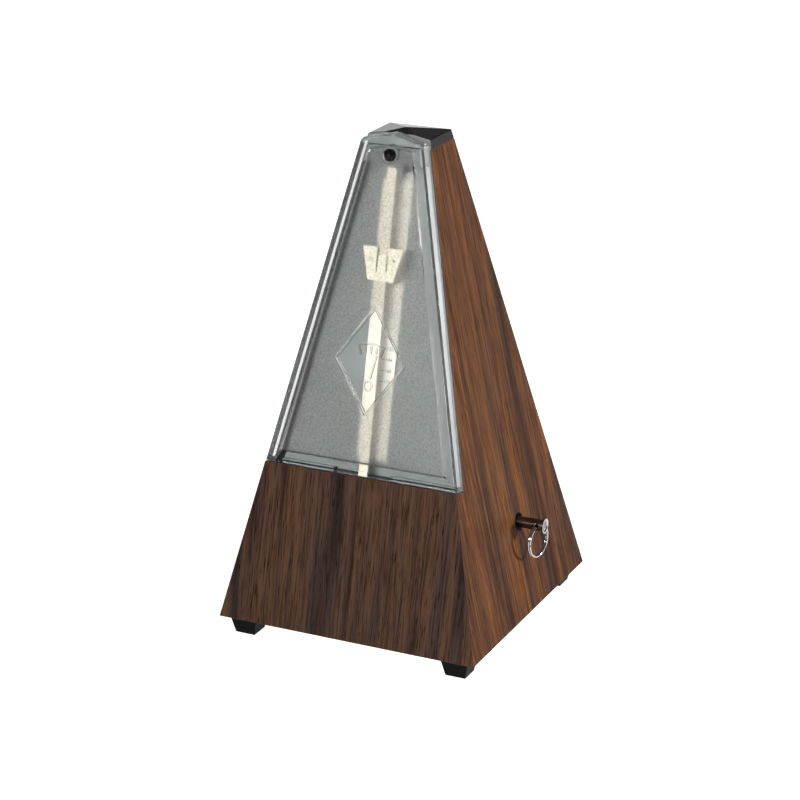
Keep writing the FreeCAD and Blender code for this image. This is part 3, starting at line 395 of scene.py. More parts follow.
class Finishes:
    """Every finish, made once and handed out by name."""

    PLANS = (
        Veneer("walnut_front", Grain.FRONT, FRONT_STOPS, warmth=0.3),
        Veneer("walnut_side", Grain.SIDE, SIDE_STOPS, figure=78.0, warmth=0.75),
        Worked("veneer_edge", (38, 29, 25), (56, 42, 35), rough=(0.45, 0.6), marks=(300, 300, 60),
               specular=0.2),
        Worked("edge_paint", (52, 54, 57), (60, 62, 66), rough=(0.5, 0.62), marks=(500, 500, 500),
               specular=0.25),
        Worked("black_gloss", (9, 9, 11), (13, 13, 15), rough=(0.1, 0.16), marks=(90, 90, 90), relief=0.005,
               depth=0.05 * MM, specular=0.12),
        Worked("foot_rubber", (3, 3, 4), (6, 6, 7), rough=(0.5, 0.65), marks=(1400, 1400, 1400),
               specular=0.06),
        Worked("raw_board", (150, 122, 88), (184, 156, 116), rough=(0.75, 0.9), marks=(120, 900, 120),
               relief=0.3),
        Worked("black_plastic", (20, 20, 21), (28, 28, 30), rough=(0.4, 0.52), marks=(1800, 1800, 1800)),
        Worked("grey_board", (119, 122, 122), (126, 129, 129), rough=(0.5, 0.62), marks=(900, 900, 900)),
        # The top bracket's finish is the grey board made darker: painted shade.
        Worked("bracket_board_painted_shade", (88, 91, 92), (95, 98, 99), rough=(0.5, 0.62), marks=(900, 900, 900)),
        Worked("cream_scale", (210, 204, 195), (219, 213, 204), rough=(0.35, 0.45), marks=(900, 900, 900)),
        Worked("scale_ink", (26, 25, 26), (36, 35, 36), rough=(0.5, 0.6)),
        Worked("cream_enamel", (218, 208, 192), (226, 217, 202), rough=(0.25, 0.36), coat=0.3),
        Worked("weight_enamel", (243, 236, 214), (250, 244, 226), rough=(0.24, 0.34), coat=0.3),
        Worked("screw_steel", (176, 176, 170), (205, 204, 198), 1.0, (0.28, 0.42), (900, 900, 900)),
        Worked("bracket_steel", (180, 181, 178), (204, 205, 201), 1.0, (0.34, 0.48), (1200, 60, 1200)),
        Worked("arbor_steel", (168, 168, 168), (196, 196, 197), 1.0, (0.2, 0.32), (60, 1500, 1500)),
        Worked("spring_steel", (58, 70, 96), (86, 98, 122), 1.0, (0.22, 0.36), (1200, 1200, 80)),
        Worked("bob_iron", (84, 84, 86), (112, 112, 114), 0.9, (0.5, 0.68), (1100, 1100, 1100), 0.5,
               0.1 * MM),
        Worked("movement_brass", (186, 150, 84), (214, 180, 110), 1.0, (0.24, 0.38), (40, 1300, 1300)),
        Worked("key_steel", (108, 100, 94), (140, 132, 126), 1.0, (0.14, 0.26), (200, 1500, 1500)),
        Worked("ring_chrome", (168, 167, 168), (188, 187, 188), 1.0, (0.06, 0.12), (700, 700, 700), 0.03),
        ClearMoulding("clear_plastic", (242, 243, 242), 0.03),
        ClearMoulding("frosted_plastic", (191, 190, 186), 0.34, 0.4, (228, 229, 228)),
    )

    def __init__(self) -> None:
        """Make each planned finish."""
        self.made: dict[str, bpy.types.Material] = {plan.name: plan.make() for plan in self.PLANS}

    def dress(self, piece: Piece, *names: str) -> None:
        """Give a piece its material slots.

        Args:
            piece: The piece.
            names: A finish for each slot, in order.
        """
        piece.data.materials.clear()
        for name in names:
            piece.data.materials.append(self.made[name])


# Modelling by hand


def take(piece: Piece) -> None:
    """Make a piece the only selected and active object.

    Args:
        piece: The piece.
    """
    if bpy.context.object is not None and bpy.context.object.mode != "OBJECT":
        bpy.ops.object.mode_set(mode="OBJECT")
    bpy.ops.object.select_all(action="DESELECT")
    piece.select_set(True)
    bpy.context.view_layer.objects.active = piece


def settle(piece: Piece, place: Matrix | None = None) -> Piece:
    """Put a piece in its place and leave its object at the origin.

    Args:
        piece: The piece.
        place: Where its local axes go. None keeps its own place.

    Returns:
        The piece.
    """
    take(piece)
    if place is not None:
        piece.matrix_world = place @ piece.matrix_world
        bpy.context.view_layer.update()
    bpy.ops.object.transform_apply(location=True, rotation=True, scale=True)
    return piece


def open_faces(piece: Piece, test: FaceTest) -> None:
    """Go into Edit mode with only some faces selected.

    Args:
        piece: The piece.
        test: Whether to select a face, by its centre and normal.
    """
    take(piece)
    bpy.ops.object.mode_set(mode="EDIT")
    bpy.ops.mesh.select_mode(type="FACE")
    bpy.ops.mesh.select_all(action="DESELECT")
    shape = bmesh.from_edit_mesh(piece.data)
    for face in shape.faces:
        face.select_set(test(face.calc_center_median(), face.normal))
    bmesh.update_edit_mesh(piece.data)


def open_points(piece: Piece, test: PointTest) -> None:
    """Go into Edit mode with only some vertices selected.

    Args:
        piece: The piece.
        test: Whether to select a vertex, by its place.
    """
    take(piece)
    bpy.ops.object.mode_set(mode="EDIT")
    bpy.ops.mesh.select_mode(type="VERT")
    bpy.ops.mesh.select_all(action="DESELECT")
    shape = bmesh.from_edit_mesh(piece.data)
    for point in shape.verts:
        point.select_set(test(point.co))
    shape.select_flush(True)
    bmesh.update_edit_mesh(piece.data)


def close_edit() -> None:
    """Leave Edit mode."""
    bpy.ops.object.mode_set(mode="OBJECT")


def block(label: str, size: Sequence[float], centre: Sequence[float]) -> Piece:
    """A box from the cube primitive.

    Args:
        label: Its name.
        size: Its size along X, Y and Z.
        centre: Its middle.

    Returns:
        The box.
    """
    bpy.ops.mesh.primitive_cube_add(size=1, location=centre, scale=size)
    piece = bpy.context.object
    piece.name = label
    return settle(piece)


def rod_shape(label: str, radius: float, length: float, centre: Sequence[float],
              turn: Sequence[float] = (0, 0, 0), sides: int = 48) -> Piece:
    """A round rod from the cylinder primitive, along Z before its turn.

    Args:
        label: Its name.
        radius: Its radius.
        length: Its length.
        centre: Its middle.
        turn: Turn about X, Y and Z, in degrees.
        sides: Faces round it.

    Returns:
        The rod.
    """
    bpy.ops.mesh.primitive_cylinder_add(vertices=sides, radius=radius, depth=length, location=centre,
                                        rotation=[math.radians(angle) for angle in turn])
    piece = bpy.context.object
    piece.name = label
    return settle(piece)


def trim(piece: Piece, outline: Sequence[tuple[float, float]]) -> None:
    """Cut a solid down to a convex outline in its XY plane.

    Args:
        piece: The solid.
        outline: The corners, anticlockwise.
    """
    count = len(outline)
    for index in range(count):
        start, end = Vector((*outline[index], 0)), Vector((*outline[(index + 1) % count], 0))
        along = end - start
        open_faces(piece, lambda centre, normal: True)
        bpy.ops.mesh.bisect(plane_co=start, plane_no=(along.y, -along.x, 0), use_fill=True, clear_outer=True)
        close_edit()


def combine(piece: Piece, tool: Piece, how: str) -> None:
    """Join a tool to a piece, or cut it away, and drop the tool.

    Args:
        piece: The piece.
        tool: The tool.
        how: UNION or DIFFERENCE.
    """
    take(piece)
    modifier = piece.modifiers.new("Combine", "BOOLEAN")
    modifier.operation = how
    modifier.solver = "EXACT"
    modifier.object = tool
    bpy.ops.object.modifier_apply(modifier=modifier.name)
    bpy.data.objects.remove(tool)


def soften(piece: Piece, width: float, segments: int = 3, angle: float = ROUND_ANGLE,
           edge_slot: int = -1) -> None:
    """Round a piece's edges with an applied Bevel.

    Args:
        piece: The piece.
        width: Width of the bevel.
        segments: Steps across it.
        angle: Edges that turn by more than this, in degrees, are rounded.
        edge_slot: Material slot of the new faces, or -1 for their neighbours' own.
    """
    take(piece)
    bpy.ops.object.shade_smooth_by_angle(angle=math.radians(angle + 2))
    modifier = piece.modifiers.new("Soften", "BEVEL")
    modifier.width = width
    modifier.segments = segments
    modifier.limit_method = "ANGLE"
    modifier.angle_limit = math.radians(angle)
    modifier.material = edge_slot
    modifier.harden_normals = True
    bpy.ops.object.modifier_apply(modifier=modifier.name)


def even_normals(piece: Piece) -> None:
    """Shade flat faces flat and round ones round.

    Args:
        piece: The piece.
    """
    take(piece)
    bpy.ops.object.shade_smooth_by_angle(angle=math.radians(ROUND_ANGLE))
    modifier = piece.modifiers.new("Even", "WEIGHTED_NORMAL")
    modifier.keep_sharp = True
    bpy.ops.object.modifier_apply(modifier=modifier.name)


def merged_copy(node: str, label: str) -> Piece:
    """Copy a CAD node and merge the copy's loose triangles into whole faces.

    Args:
        node: The CAD node.
        label: The copy's name.

    Returns:
        The copy.
    """
    source = bpy.data.objects[node]
    piece = source.copy()
    piece.data = source.data.copy()
    piece.name = label
    piece.parent = None
    for key in [key for key in piece.keys() if key.startswith("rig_")]:
        del piece[key]
    bpy.context.scene.collection.objects.link(piece)
    open_faces(piece, lambda centre, normal: True)
    bpy.ops.mesh.remove_doubles(threshold=MERGE_WITHIN)
    bpy.ops.mesh.dissolve_limited(angle_limit=math.radians(FLAT_WITHIN))
    close_edit()
    return piece


@dataclass
class Workshop:
    """What every sub-assembly needs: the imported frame, the finishes and the list of what was made."""

    frame: dict
    finishes: Finishes
    made: list[str] = field(default_factory=list)

    def fix(self, piece: Piece, body: str, slot: str, *nodes: str) -> Piece:
        """Hand over a finished piece.

        Args:
            piece: The piece.
            body: The body that it rides on.
            slot: The record's material slot; not used.
            nodes: The CAD nodes that it stands for.

        Returns:
            The piece.
        """
        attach(piece, body)
        if nodes:
            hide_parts(*nodes)
        self.made.append(piece.name)
        LOG.info("%s rides on %s", piece.name, body)
        return piece

    def refine(self, node: str, body: str, slot: str, finish: str, width: float, segments: int = 3,
               *edges: str, angle: float = ROUND_ANGLE) -> Piece:
        """Stand a copy with rounded edges in for a CAD node.

        Args:
            node: The CAD node.
            body: The body that it rides on.
            slot: The record's material slot; not used.
            finish: Its finish.
            width: Width of the rounding.
            segments: Steps across it.
            edges: Finish of the rounded edges, if their own, and any further one.
            angle: Edges that turn by more than this, in degrees, are rounded.

        Returns:
            The new piece.
        """
        piece = merged_copy(node, f"{node}_worked")
        self.finishes.dress(piece, finish, *edges)
        soften(piece, width, segments, angle, 1 if edges else -1)
        return self.fix(piece, body, slot, node)

    def joint(self, name: str) -> dict:
        """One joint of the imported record."""
        return next(joint for joint in self.frame["joints"] if joint["name"] == name)


@dataclass
class FrontPlane:
    """The casing's front plane: x across, w up its slope from the ledge, out to the front."""

    origin: Vector
    tilt: float

    @classmethod
    def from_joints(cls, shop: Workshop) -> FrontPlane:
        """Read the plane from the cover's hinge and the pendulum's axis."""
        axis = shop.joint("pendulum_swing")["axis"]
        return cls(Vector(shop.joint("cover_hinge")["pos_m"]), math.atan2(-axis[2], axis[1]))

    def matrix(self) -> Matrix:
        """Where local x, w and out go."""
        turn = Euler((math.pi / 2 - self.tilt, 0, 0)).to_matrix().to_4x4()
        return Matrix.Translation(self.origin) @ turn


# Sub-assemblies


@dataclass
class Casing:
    """The veneered pyramid with its cap, its base and its feet."""

    lean: float = 0.229
    facing: float = 0.5
    cap_front: float = -0.8
    arris: float = 0.22 * MM
    cap_edge: float = 0.35 * MM
    foot_edge: float = 0.7 * MM

    def paint(self, panel: Piece, middle: float) -> None:
        """Paint a panel's inner faces and its sawn edges, all that doesn't face outwards.

        Args:
            panel: The panel.
            middle: X of the casing's middle plane.
        """
        low, high = (Vector([pick(corner[axis] for corner in panel.bound_box) for axis in range(3)])
                     for pick in (min, max))
        centre = (low + high) / 2 - Vector((middle, 0, 0))
        out = Vector((centre.x, 0, 0)) if abs(centre.x) > abs(centre.y) else Vector((0, centre.y, 0))
        out = (out.normalized() + Vector((0, 0, self.lean))).normalized()
        for face in panel.data.polygons:
            if face.normal.dot(out) < self.facing:
                face.material_index = 2

    def build(self, shop: Workshop, middle: float) -> None:
        """Work the edges of the panels, the cap and the feet.

        Args:
            shop: The workshop.
            middle: X of the casing's middle plane.
        """
        for node, finish in (("front_panel", "walnut_front"), ("back_panel", "walnut_front"),
                             ("left_panel", "walnut_side"), ("right_panel", "walnut_side")):
            panel = shop.refine(node, "casing", "walnut", finish, self.arris, 2,
                                "veneer_edge", "edge_paint")
            self.paint(panel, middle)
        cap = shop.refine("top_cap", "casing", "black_gloss", "black_gloss", self.cap_edge, 3, angle=5.0)
        cap.data.materials.append(shop.finishes.made["grey_board"])
        for face in cap.data.polygons:
            if face.normal.y < self.cap_front:
                face.material_index = 1
        for side in ("front_left", "front_right", "rear_left", "rear_right"):
            shop.refine(f"{side}_foot", "casing", "foot_rubber", "foot_rubber", self.foot_edge)
        for node in ("base_plate", "corner_blocks"):
            shop.finishes.dress(bpy.data.objects[node], "raw_board")


@dataclass
class CoverSizes:
    """Sizes of the front cover, in metres, measured on the front plane."""

    foot: float = 0.3 * MM
    foot_half: float = 45.4 * MM
    shoulder: float = 143.05 * MM
    shoulder_half: float = 14.5 * MM
    peak: float = 146.55 * MM
    depth: float = 6.8 * MM
    wall: float = 1.6 * MM
    rim: float = 4.6 * MM
    step: float = 0.9 * MM
    brow_drop: float = 1.5 * MM
    brow_deep: float = 2.6 * MM
    stud: float = 136.7 * MM
    stud_hole: float = 3.0 * MM
    boss: float = 4.25 * MM
    window: float = 49.6 * MM
    window_half: float = 16.7 * MM
    window_tall: float = 23.85 * MM
    bead: float = 0.8 * MM
    notch_half: float = 13.5 * MM
    notch_front: float = 3.1 * MM
    draft: float = 0.35 * MM
    plate: float = 1.0 * MM
    edge: float = 0.12 * MM
    boss_long: float = 2.4 * MM
    boss_at: float = -0.75 * MM
    hole_long: float = 12.0 * MM
    brow_reach: float = 1.0 * MM
    brow_above: float = 0.5 * MM
    flat: float = 0.02 * MM
    frost_from: float = 0.97


@dataclass
class Cover:
    """The clear front cover with a raised frosted field and a clear rhombic window."""

    BEAD_STEPS = ((0.25, 0), (0.25, -0.65), (0.2, 0), (0.2, 0.6), (0.25, 0), (0.3, -0.9))

    sizes: CoverSizes = field(default_factory=CoverSizes)

    def outline(self) -> list[tuple[float, float]]:
        """The gable, anticlockwise."""
        s = self.sizes
        return [(-s.foot_half, s.foot), (s.foot_half, s.foot), (s.shoulder_half, s.shoulder), (0, s.peak),
                (-s.shoulder_half, s.shoulder)]

    def shell(self) -> Piece:
        """Mould the hollow shell: rim, sloping brow and raised field.

        Returns:
            The shell.
        """
        s = self.sizes
        piece = block("cover", (s.foot_half * 2.4, s.peak * 1.2, s.depth - s.step),
                      (0, s.peak / 2, -(s.depth + s.step) / 2))
        trim(piece, self.outline())
        open_faces(piece, lambda centre, normal: True)
        bpy.ops.mesh.bisect(plane_co=(0, 0, -s.step - s.brow_deep), plane_no=(0, 0, 1))
        close_edit()
        high = s.shoulder - s.brow_reach
        open_points(piece, lambda p: p.y > high and p.z > -s.step - s.brow_above)
        bpy.ops.transform.translate(value=(0, -s.brow_drop, 0))
        close_edit()
        open_faces(piece, lambda centre, normal: normal.z > 0.9)
        bpy.ops.mesh.inset(thickness=s.rim, depth=0)
        bpy.ops.mesh.inset(thickness=s.step, depth=s.step)
        close_edit()
        open_faces(piece, lambda centre, normal: normal.z < -0.9)
        bpy.ops.mesh.inset(thickness=s.wall, depth=0)
        bpy.ops.mesh.inset(thickness=s.draft, depth=-(s.depth - s.step - s.wall))
        bpy.ops.mesh.inset(thickness=s.rim - s.wall, depth=0)
        bpy.ops.mesh.inset(thickness=s.step, depth=-s.step)
        close_edit()
        return piece

    def frame(self) -> Piece:
        """Shape the double bead round the window, on a rhombic plate.

        Returns:
            The plate.
        """
        s = self.sizes
        bpy.ops.mesh.primitive_cylinder_add(vertices=4, radius=1, depth=s.plate + s.bead,
                                            location=(0, s.window, (s.bead - s.plate) / 2))
        piece = bpy.context.object
        piece.scale = (s.window_half, s.window_tall, 1)
        settle(piece)
        open_faces(piece, lambda centre, normal: normal.z > 0.9)
        for thick, rise in self.BEAD_STEPS:
            bpy.ops.mesh.inset(thickness=thick * MM, depth=rise * MM)
        close_edit()
        return piece

    def is_frosted(self, points: Sequence[Vector]) -> bool:
        """Whether a face is part of the field's front outside the window's frame.

        Args:
            points: The face's corners on the front plane.

        Returns:
            True if the face is frosted.
        """
        s = self.sizes
        if any(abs(point.z) > s.flat for point in points):
            return False
        rhomb = [abs(p.x) / s.window_half + abs(p.y - s.window) / s.window_tall for p in points]
        return max(rhomb) > s.frost_from

    def build(self, shop: Workshop, front: FrontPlane) -> None:
        """Mould the cover and dress its field, rim and window.

        Args:
            shop: The workshop.
            front: The casing's front plane.
        """
        s = self.sizes
        piece = self.shell()
        combine(piece, self.frame(), "UNION")
        combine(piece, rod_shape("boss", s.boss, s.boss_long, (0, s.stud, s.boss_at), sides=64), "UNION")
        hole = rod_shape("hole", s.stud_hole, s.hole_long, (0, s.stud, 0), sides=64)
        combine(piece, hole, "DIFFERENCE")
        notch = block("notch", (s.notch_half * 2, s.wall * 4, s.depth),
                      (0, s.foot, -s.notch_front - s.depth / 2))
        combine(piece, notch, "DIFFERENCE")
        shop.finishes.dress(piece, "clear_plastic", "frosted_plastic")
        for face in piece.data.polygons:
            points = [piece.data.vertices[index].co for index in face.vertices]
            face.material_index = 1 if self.is_frosted(points) else 0
        soften(piece, s.edge, 2, 25.0)
        settle(piece, front.matrix())
        shop.fix(piece, "cover", "frosted_clear", "front_cover")


@dataclass
class Ornament:
    """A plain swing mark in the window: a hub, a hand, and an arc over a row of ticks."""

    radius: float = 18.0 * MM
    wire: float = 0.45 * MM
    drop: float = 10.5 * MM
    spread: float = 21.0
    ticks: int = 5
    tick_drop: float = 2.6 * MM
    tick_long: float = 3.6 * MM
    tick_short: float = 2.6 * MM
    tick_share: float = 0.92
    stroke: float = 0.7 * MM
    rise: float = 1.0 * MM
    hub: float = 1.9 * MM
    hand_turn: float = 12.0
    hand_gap: float = 5.0 * MM
    hand_share: float = 1.4

    def stroke_at(self, label: str, turn: float, reach: float, long: float, pivot: float) -> Piece:
        """A raised stroke that points away from the hub.

        Args:
            label: Its name.
            turn: Its turn from upright, in radians.
            reach: Distance from the hub to its middle.
            long: Its length.
            pivot: Height of the hub.

        Returns:
            The stroke.
        """
        stroke = block(label, (self.stroke, long, self.rise), (0, 0, 0))
        stroke.rotation_euler = (0, 0, -turn)
        stroke.location = (math.sin(turn) * reach, pivot + math.cos(turn) * reach, 0)
        return settle(stroke)

    def build(self, shop: Workshop, front: FrontPlane, window: float) -> None:
        """Raise the mark on the clear window.

        Args:
            shop: The workshop.
            front: The casing's front plane.
            window: Height of the window's middle on it.
        """
        pivot = window - self.drop
        rings = []
        for label, radius in (("swing_mark", self.radius), ("hub_mark", self.hub)):
            bpy.ops.mesh.primitive_torus_add(major_radius=radius, minor_radius=self.wire, major_segments=96,
                                             minor_segments=10, location=(0, pivot, 0))
            bpy.context.object.name = label
            rings.append(settle(bpy.context.object))
        arc = rings[0]
        half = math.radians(self.spread)
        for turn in (half, -half):
            edge = Vector((math.sin(turn), math.cos(turn), 0))
            outward = Vector((edge.y, -edge.x, 0)) * (1 if turn > 0 else -1)
            open_faces(arc, lambda centre, normal: True)
            bpy.ops.mesh.bisect(plane_co=(0, pivot, 0), plane_no=outward, use_fill=True, clear_outer=True)
            close_edit()
        parts = list(rings)
        for index in range(self.ticks):
            turn = half * (2 * index / (self.ticks - 1) - 1) * self.tick_share
            long = self.tick_short if index % 2 else self.tick_long
            parts.append(self.stroke_at(f"tick_{index}", turn, self.radius - self.tick_drop, long, pivot))
        reach = (self.hub + self.radius - self.hand_gap) / 2
        parts.append(self.stroke_at("hand", math.radians(self.hand_turn), reach + self.hub / 2,
                                    reach * self.hand_share, pivot))
        take(arc)
        for part in parts:
            part.select_set(True)
        bpy.ops.object.join()
        shop.finishes.dress(arc, "clear_plastic")
        even_normals(arc)
        settle(arc, front.matrix())
        shop.fix(arc, "cover", "frosted_clear")


@dataclass
class Scale:
    """The board behind the cover, the printed tempo scale, the top bracket and the stud."""

    PLATES = (
        ("inner_board", "grey_board", "grey_board", 0.15),
        # The top bracket wears the darker copy of the grey board, which is painted shade.
        ("top_bracket", "grey_board", "bracket_board_painted_shade", 0.3),
        ("rod_rest", "grey_board", "grey_board", 0.12),
        ("scale_plate", "cream_scale", "cream_scale", 0.1),
        ("ledge_plate", "black_plastic", "black_plastic", 0.2),
    )

    plane: float = 11.0 * MM
    low: float = 31.0 * MM
    high: float = 121.0 * MM
    digit: float = 2.1 * MM
    column: float = 3.9 * MM
    print_high: float = 0.02 * MM
    line: tuple[float, float, float] = (1.7 * MM, 0.16 * MM, 0.04 * MM)
    line_at: float = 1.2 * MM
    stud: float = 136.7 * MM
    ball: float = 2.65 * MM
    stem: float = 1.6 * MM
    stem_long: float = 12.0 * MM

    def tempos(self) -> list[int]:
        """The usual tempos, from the fastest at the foot to the slowest at the top."""
        steps = ((40, 60, 2), (63, 72, 3), (76, 120, 4), (126, 144, 6), (152, 208, 8))
        return sorted((t for a, b, step in steps for t in range(a, b + 1, step)), reverse=True)

    def print_numbers(self) -> Piece:
        """Print the tempos in two staggered columns, each with its line.

        Returns:
            The print, as one piece.
        """
        tempos = self.tempos()
        marks = []
        for index, tempo in enumerate(tempos):
            w = self.low + (self.high - self.low) * index / (len(tempos) - 1)
            side = -1 if index % 2 else 1
            bpy.ops.object.text_add()
            text = bpy.context.object
            text.data.body = str(tempo)
            text.data.size = self.digit
            text.data.extrude = self.print_high
            text.data.resolution_u = 3
            text.data.align_x, text.data.align_y = "CENTER", "CENTER"
            take(text)
            bpy.ops.object.convert(target="MESH")
            text = bpy.context.object
            text.location = (side * self.column, w, -self.plane)
            marks.append(settle(text))
            marks.append(block(f"line_{tempo}", self.line, (side * self.line_at, w, -self.plane)))
        first = marks[0]
        take(first)
        for mark in marks:
            mark.select_set(True)
        bpy.ops.object.join()
        first.name = "scale_print"
        return first

    def build(self, shop: Workshop, front: FrontPlane) -> None:
        """Work the plates, print the scale and turn the stud.

        Args:
            shop: The workshop.
            front: The casing's front plane.
        """
        for node, slot, finish, width in self.PLATES:
            shop.refine(node, "casing", slot, finish, width * MM, 2)
        ink = self.print_numbers()
        shop.finishes.dress(ink, "scale_ink")
        settle(ink, front.matrix())
        shop.fix(ink, "casing", "cream_scale")
        bpy.ops.mesh.primitive_uv_sphere_add(segments=48, ring_count=32, radius=self.ball,
                                             location=(0, self.stud, 0))
        ball = settle(bpy.context.object)
        ball.name = "stud"
        stem = rod_shape("stem", self.stem, self.stem_long, (0, self.stud, -self.stem_long / 2), sides=40)
        combine(ball, stem, "UNION")
        shop.finishes.dress(ball, "black_gloss")
        even_normals(ball)
        settle(ball, front.matrix())
        shop.fix(ball, "casing", "black_gloss", "cover_stud")


@dataclass
class Pendulum:
    """The enamelled rod with its notches, the sliding weight and what hangs below the ledge."""

    half: float = 2.1 * MM
    thick: float = 0.8 * MM
    front: float = 4.0 * MM
    foot: float = -48.0 * MM
    top: float = 131.5 * MM
    notch_pitch: float = 2.37 * MM
    notch_low: float = 14.0 * MM
    notch: tuple[float, float] = (0.35 * MM, 0.24 * MM)
    notches: int = 48
    arbor: float = -16.0 * MM
    bore: float = 1.01 * MM
    bore_long: float = 4.0 * MM
    edge: float = 0.06 * MM
    weight_edge: float = 0.22 * MM
    rivet_edge: float = 0.1 * MM
    bob_edge: float = 0.6 * MM

    def build(self, shop: Workshop, front: FrontPlane) -> None:
        """Shape the rod, cut its notches and work the weight's edges.

        Args:
            shop: The workshop.
            front: The casing's front plane.
        """
        depth = -self.front - self.thick / 2
        rod = block("rod", (self.half * 2, self.top - self.foot, self.thick),
                    (0, (self.top + self.foot) / 2, depth))
        cutter = block("notch_cutter", (self.half * 3, *self.notch), (0, self.notch_low, -self.front))
        take(cutter)
        repeat = cutter.modifiers.new("Repeat", "ARRAY")
        repeat.count = self.notches
        repeat.use_relative_offset = False
        repeat.use_constant_offset = True
        repeat.constant_offset_displace = (0, self.notch_pitch, 0)
        bpy.ops.object.modifier_apply(modifier=repeat.name)
        combine(rod, cutter, "DIFFERENCE")
        bore = rod_shape("bore", self.bore, self.bore_long, (0, self.arbor, -self.front), sides=32)
        combine(rod, bore, "DIFFERENCE")
        shop.finishes.dress(rod, "cream_enamel")
        soften(rod, self.edge, 2)
        settle(rod, front.matrix())
        shop.fix(rod, "pendulum", "cream_enamel", "pendulum_rod")
        for node in ("tempo_weight_front", "tempo_weight_back"):
            shop.refine(node, "tempo_weight", "weight_enamel", "weight_enamel", self.weight_edge)
        shop.refine("weight_rivets", "tempo_weight", "weight_enamel", "arbor_steel", self.rivet_edge)
        shop.refine("counterweight", "pendulum", "bob_iron", "bob_iron", self.bob_edge)


@dataclass
class WindingKey:
    """The key's shaft with its collar, and the split ring through it."""

    shaft: float = 2.5 * MM
    collar: float = 3.3 * MM
    collar_long: float = 1.0 * MM
    start: float = 30.0 * MM
    end: float = 64.5 * MM
    lip: float = 0.55 * MM
    dish: float = 0.4 * MM
    hole: float = 1.5 * MM
    hole_long: float = 12.0 * MM
    socket: float = 2.02 * MM
    socket_long: float = 16.0 * MM
    tip_face: float = 0.1 * MM
    edge: float = 0.18 * MM
    ring_at: float = 61.1 * MM
    ring: float = 7.3 * MM
    wedge: float = 3.4 * MM
    coil: float = 0.47 * MM
    coil_apart: float = 0.38 * MM
    yaw: float = 9.0
    split: float = 4.0

    def turn_shaft(self, shop: Workshop, middle: float, y: float, z: float) -> None:
        """Turn the shaft with its collar, dished end, cross hole and socket.

        Args:
            shop: The workshop.
            middle: X of the casing's middle plane.
            y: Y of the shaft's axis.
            z: Z of the shaft's axis.
        """
        long = self.end - self.start
        shaft = rod_shape("shaft", self.shaft, long, (middle + self.start + long / 2, y, z), (0, 90, 0), 64)
        collar = rod_shape("collar", self.collar, self.collar_long,
                           (middle + self.end - self.collar_long / 2, y, z), (0, 90, 0), 64)
        combine(shaft, collar, "UNION")
        turn = Euler((math.pi / 2, 0, -math.radians(self.yaw))).to_matrix().to_4x4()
        across = Matrix.Translation((middle + self.ring_at, y, z)) @ turn
        cross = settle(rod_shape("cross", self.hole, self.hole_long, (0, 0, 0), sides=40), across)
        combine(shaft, cross, "DIFFERENCE")
        socket = rod_shape("socket", self.socket, self.socket_long, (middle + self.start, y, z), (0, 90, 0))
        combine(shaft, socket, "DIFFERENCE")
        tip = middle + self.end
        open_faces(shaft, lambda centre, normal: normal.x > 0.9 and centre.x > tip - self.tip_face)
        bpy.ops.mesh.inset(thickness=self.lip, depth=0)
        bpy.ops.mesh.inset(thickness=self.dish, depth=-self.dish)
        close_edit()
        shop.finishes.dress(shaft, "key_steel", "ring_chrome", "bob_iron")
        for face in shaft.data.polygons:
            reach = (face.center.yz - Vector((y, z))).length
            if face.center.x > tip - self.collar_long / 2:
                face.material_index = 1 if reach > self.collar - self.lip - self.dish else 2
        shaft.name = "key_shaft_worked"
        soften(shaft, self.edge, 3, 30.0)
        shop.fix(shaft, "winder", "key_steel", "key_shaft")

    def bend_ring(self, shop: Workshop, middle: float, y: float, z: float) -> None:
        """Bend the split ring from two coils of wire, their ends on opposite sides.

        Args:
            shop: The workshop.
            middle: X of the casing's middle plane.
            y: Y of the shaft's axis.
            z: Z of the shaft's axis.
        """
        centre = Vector((middle + self.ring_at, y, z - self.ring))
        coils = []
        for side in (-1, 1):
            bpy.ops.mesh.primitive_torus_add(major_radius=self.ring, minor_radius=self.coil,
                                             major_segments=128, minor_segments=20,
                                             location=(0, 0, side * self.coil_apart))
            coil = settle(bpy.context.object)
            gap = self.ring * math.radians(self.split)
            wedge = block("wedge", (self.ring, gap, self.wedge), (-side * self.ring, 0, 0))
            combine(coil, wedge, "DIFFERENCE")
            coils.append(coil)
        ring = coils[0]
        combine(ring, coils[1], "UNION")
        ring.name = "ring"
        back = Euler((math.pi / 2, 0, 0)).to_matrix().to_4x4()
        spin = Matrix.Rotation(math.pi / 2 - math.radians(self.yaw), 4, "Z")
        upright = Matrix.Translation(centre) @ spin @ back
        settle(ring, upright)
        shop.finishes.dress(ring, "ring_chrome")
        even_normals(ring)
        shop.fix(ring, "ring", "ring_chrome", "key_ring")

    def build(self, shop: Workshop, middle: float) -> None:
        """Make the shaft and its ring.

        Args:
            shop: The workshop.
            middle: X of the casing's middle plane.
        """
        _, y, z = shop.joint("winding")["pos_m"]
        self.turn_shaft(shop, middle, y, z)
        self.bend_ring(shop, middle, y, z)


class Metal(Enum):
    """The finish of each clockwork node that keeps its CAD shape."""

    SCREWS = ("screw_steel", ("foot_screws", "base_screws", "pillar_screws", "bracket_screws",
                              "bridge_screws", "click_screw"))
    STEEL = ("arbor_steel", ("pendulum_arbor", "intermediate_pinion", "escape_pinion", "winding_arbor",
                             "ratchet_wheel", "click", "front_pallet", "rear_pallet"))
    SPRINGS = ("spring_steel", ("mainspring", "click_spring"))
    BRASS = ("movement_brass", ("pendulum_hub", "left_frame_plate", "right_frame_plate", "frame_pillars",
                                "front_bridge", "rear_bridge", "escape_cock", "barrel", "barrel_lid",
                                "intermediate_wheel", "escape_wheel"))
    BRACKETS = ("bracket_steel", ("left_bracket", "right_bracket"))


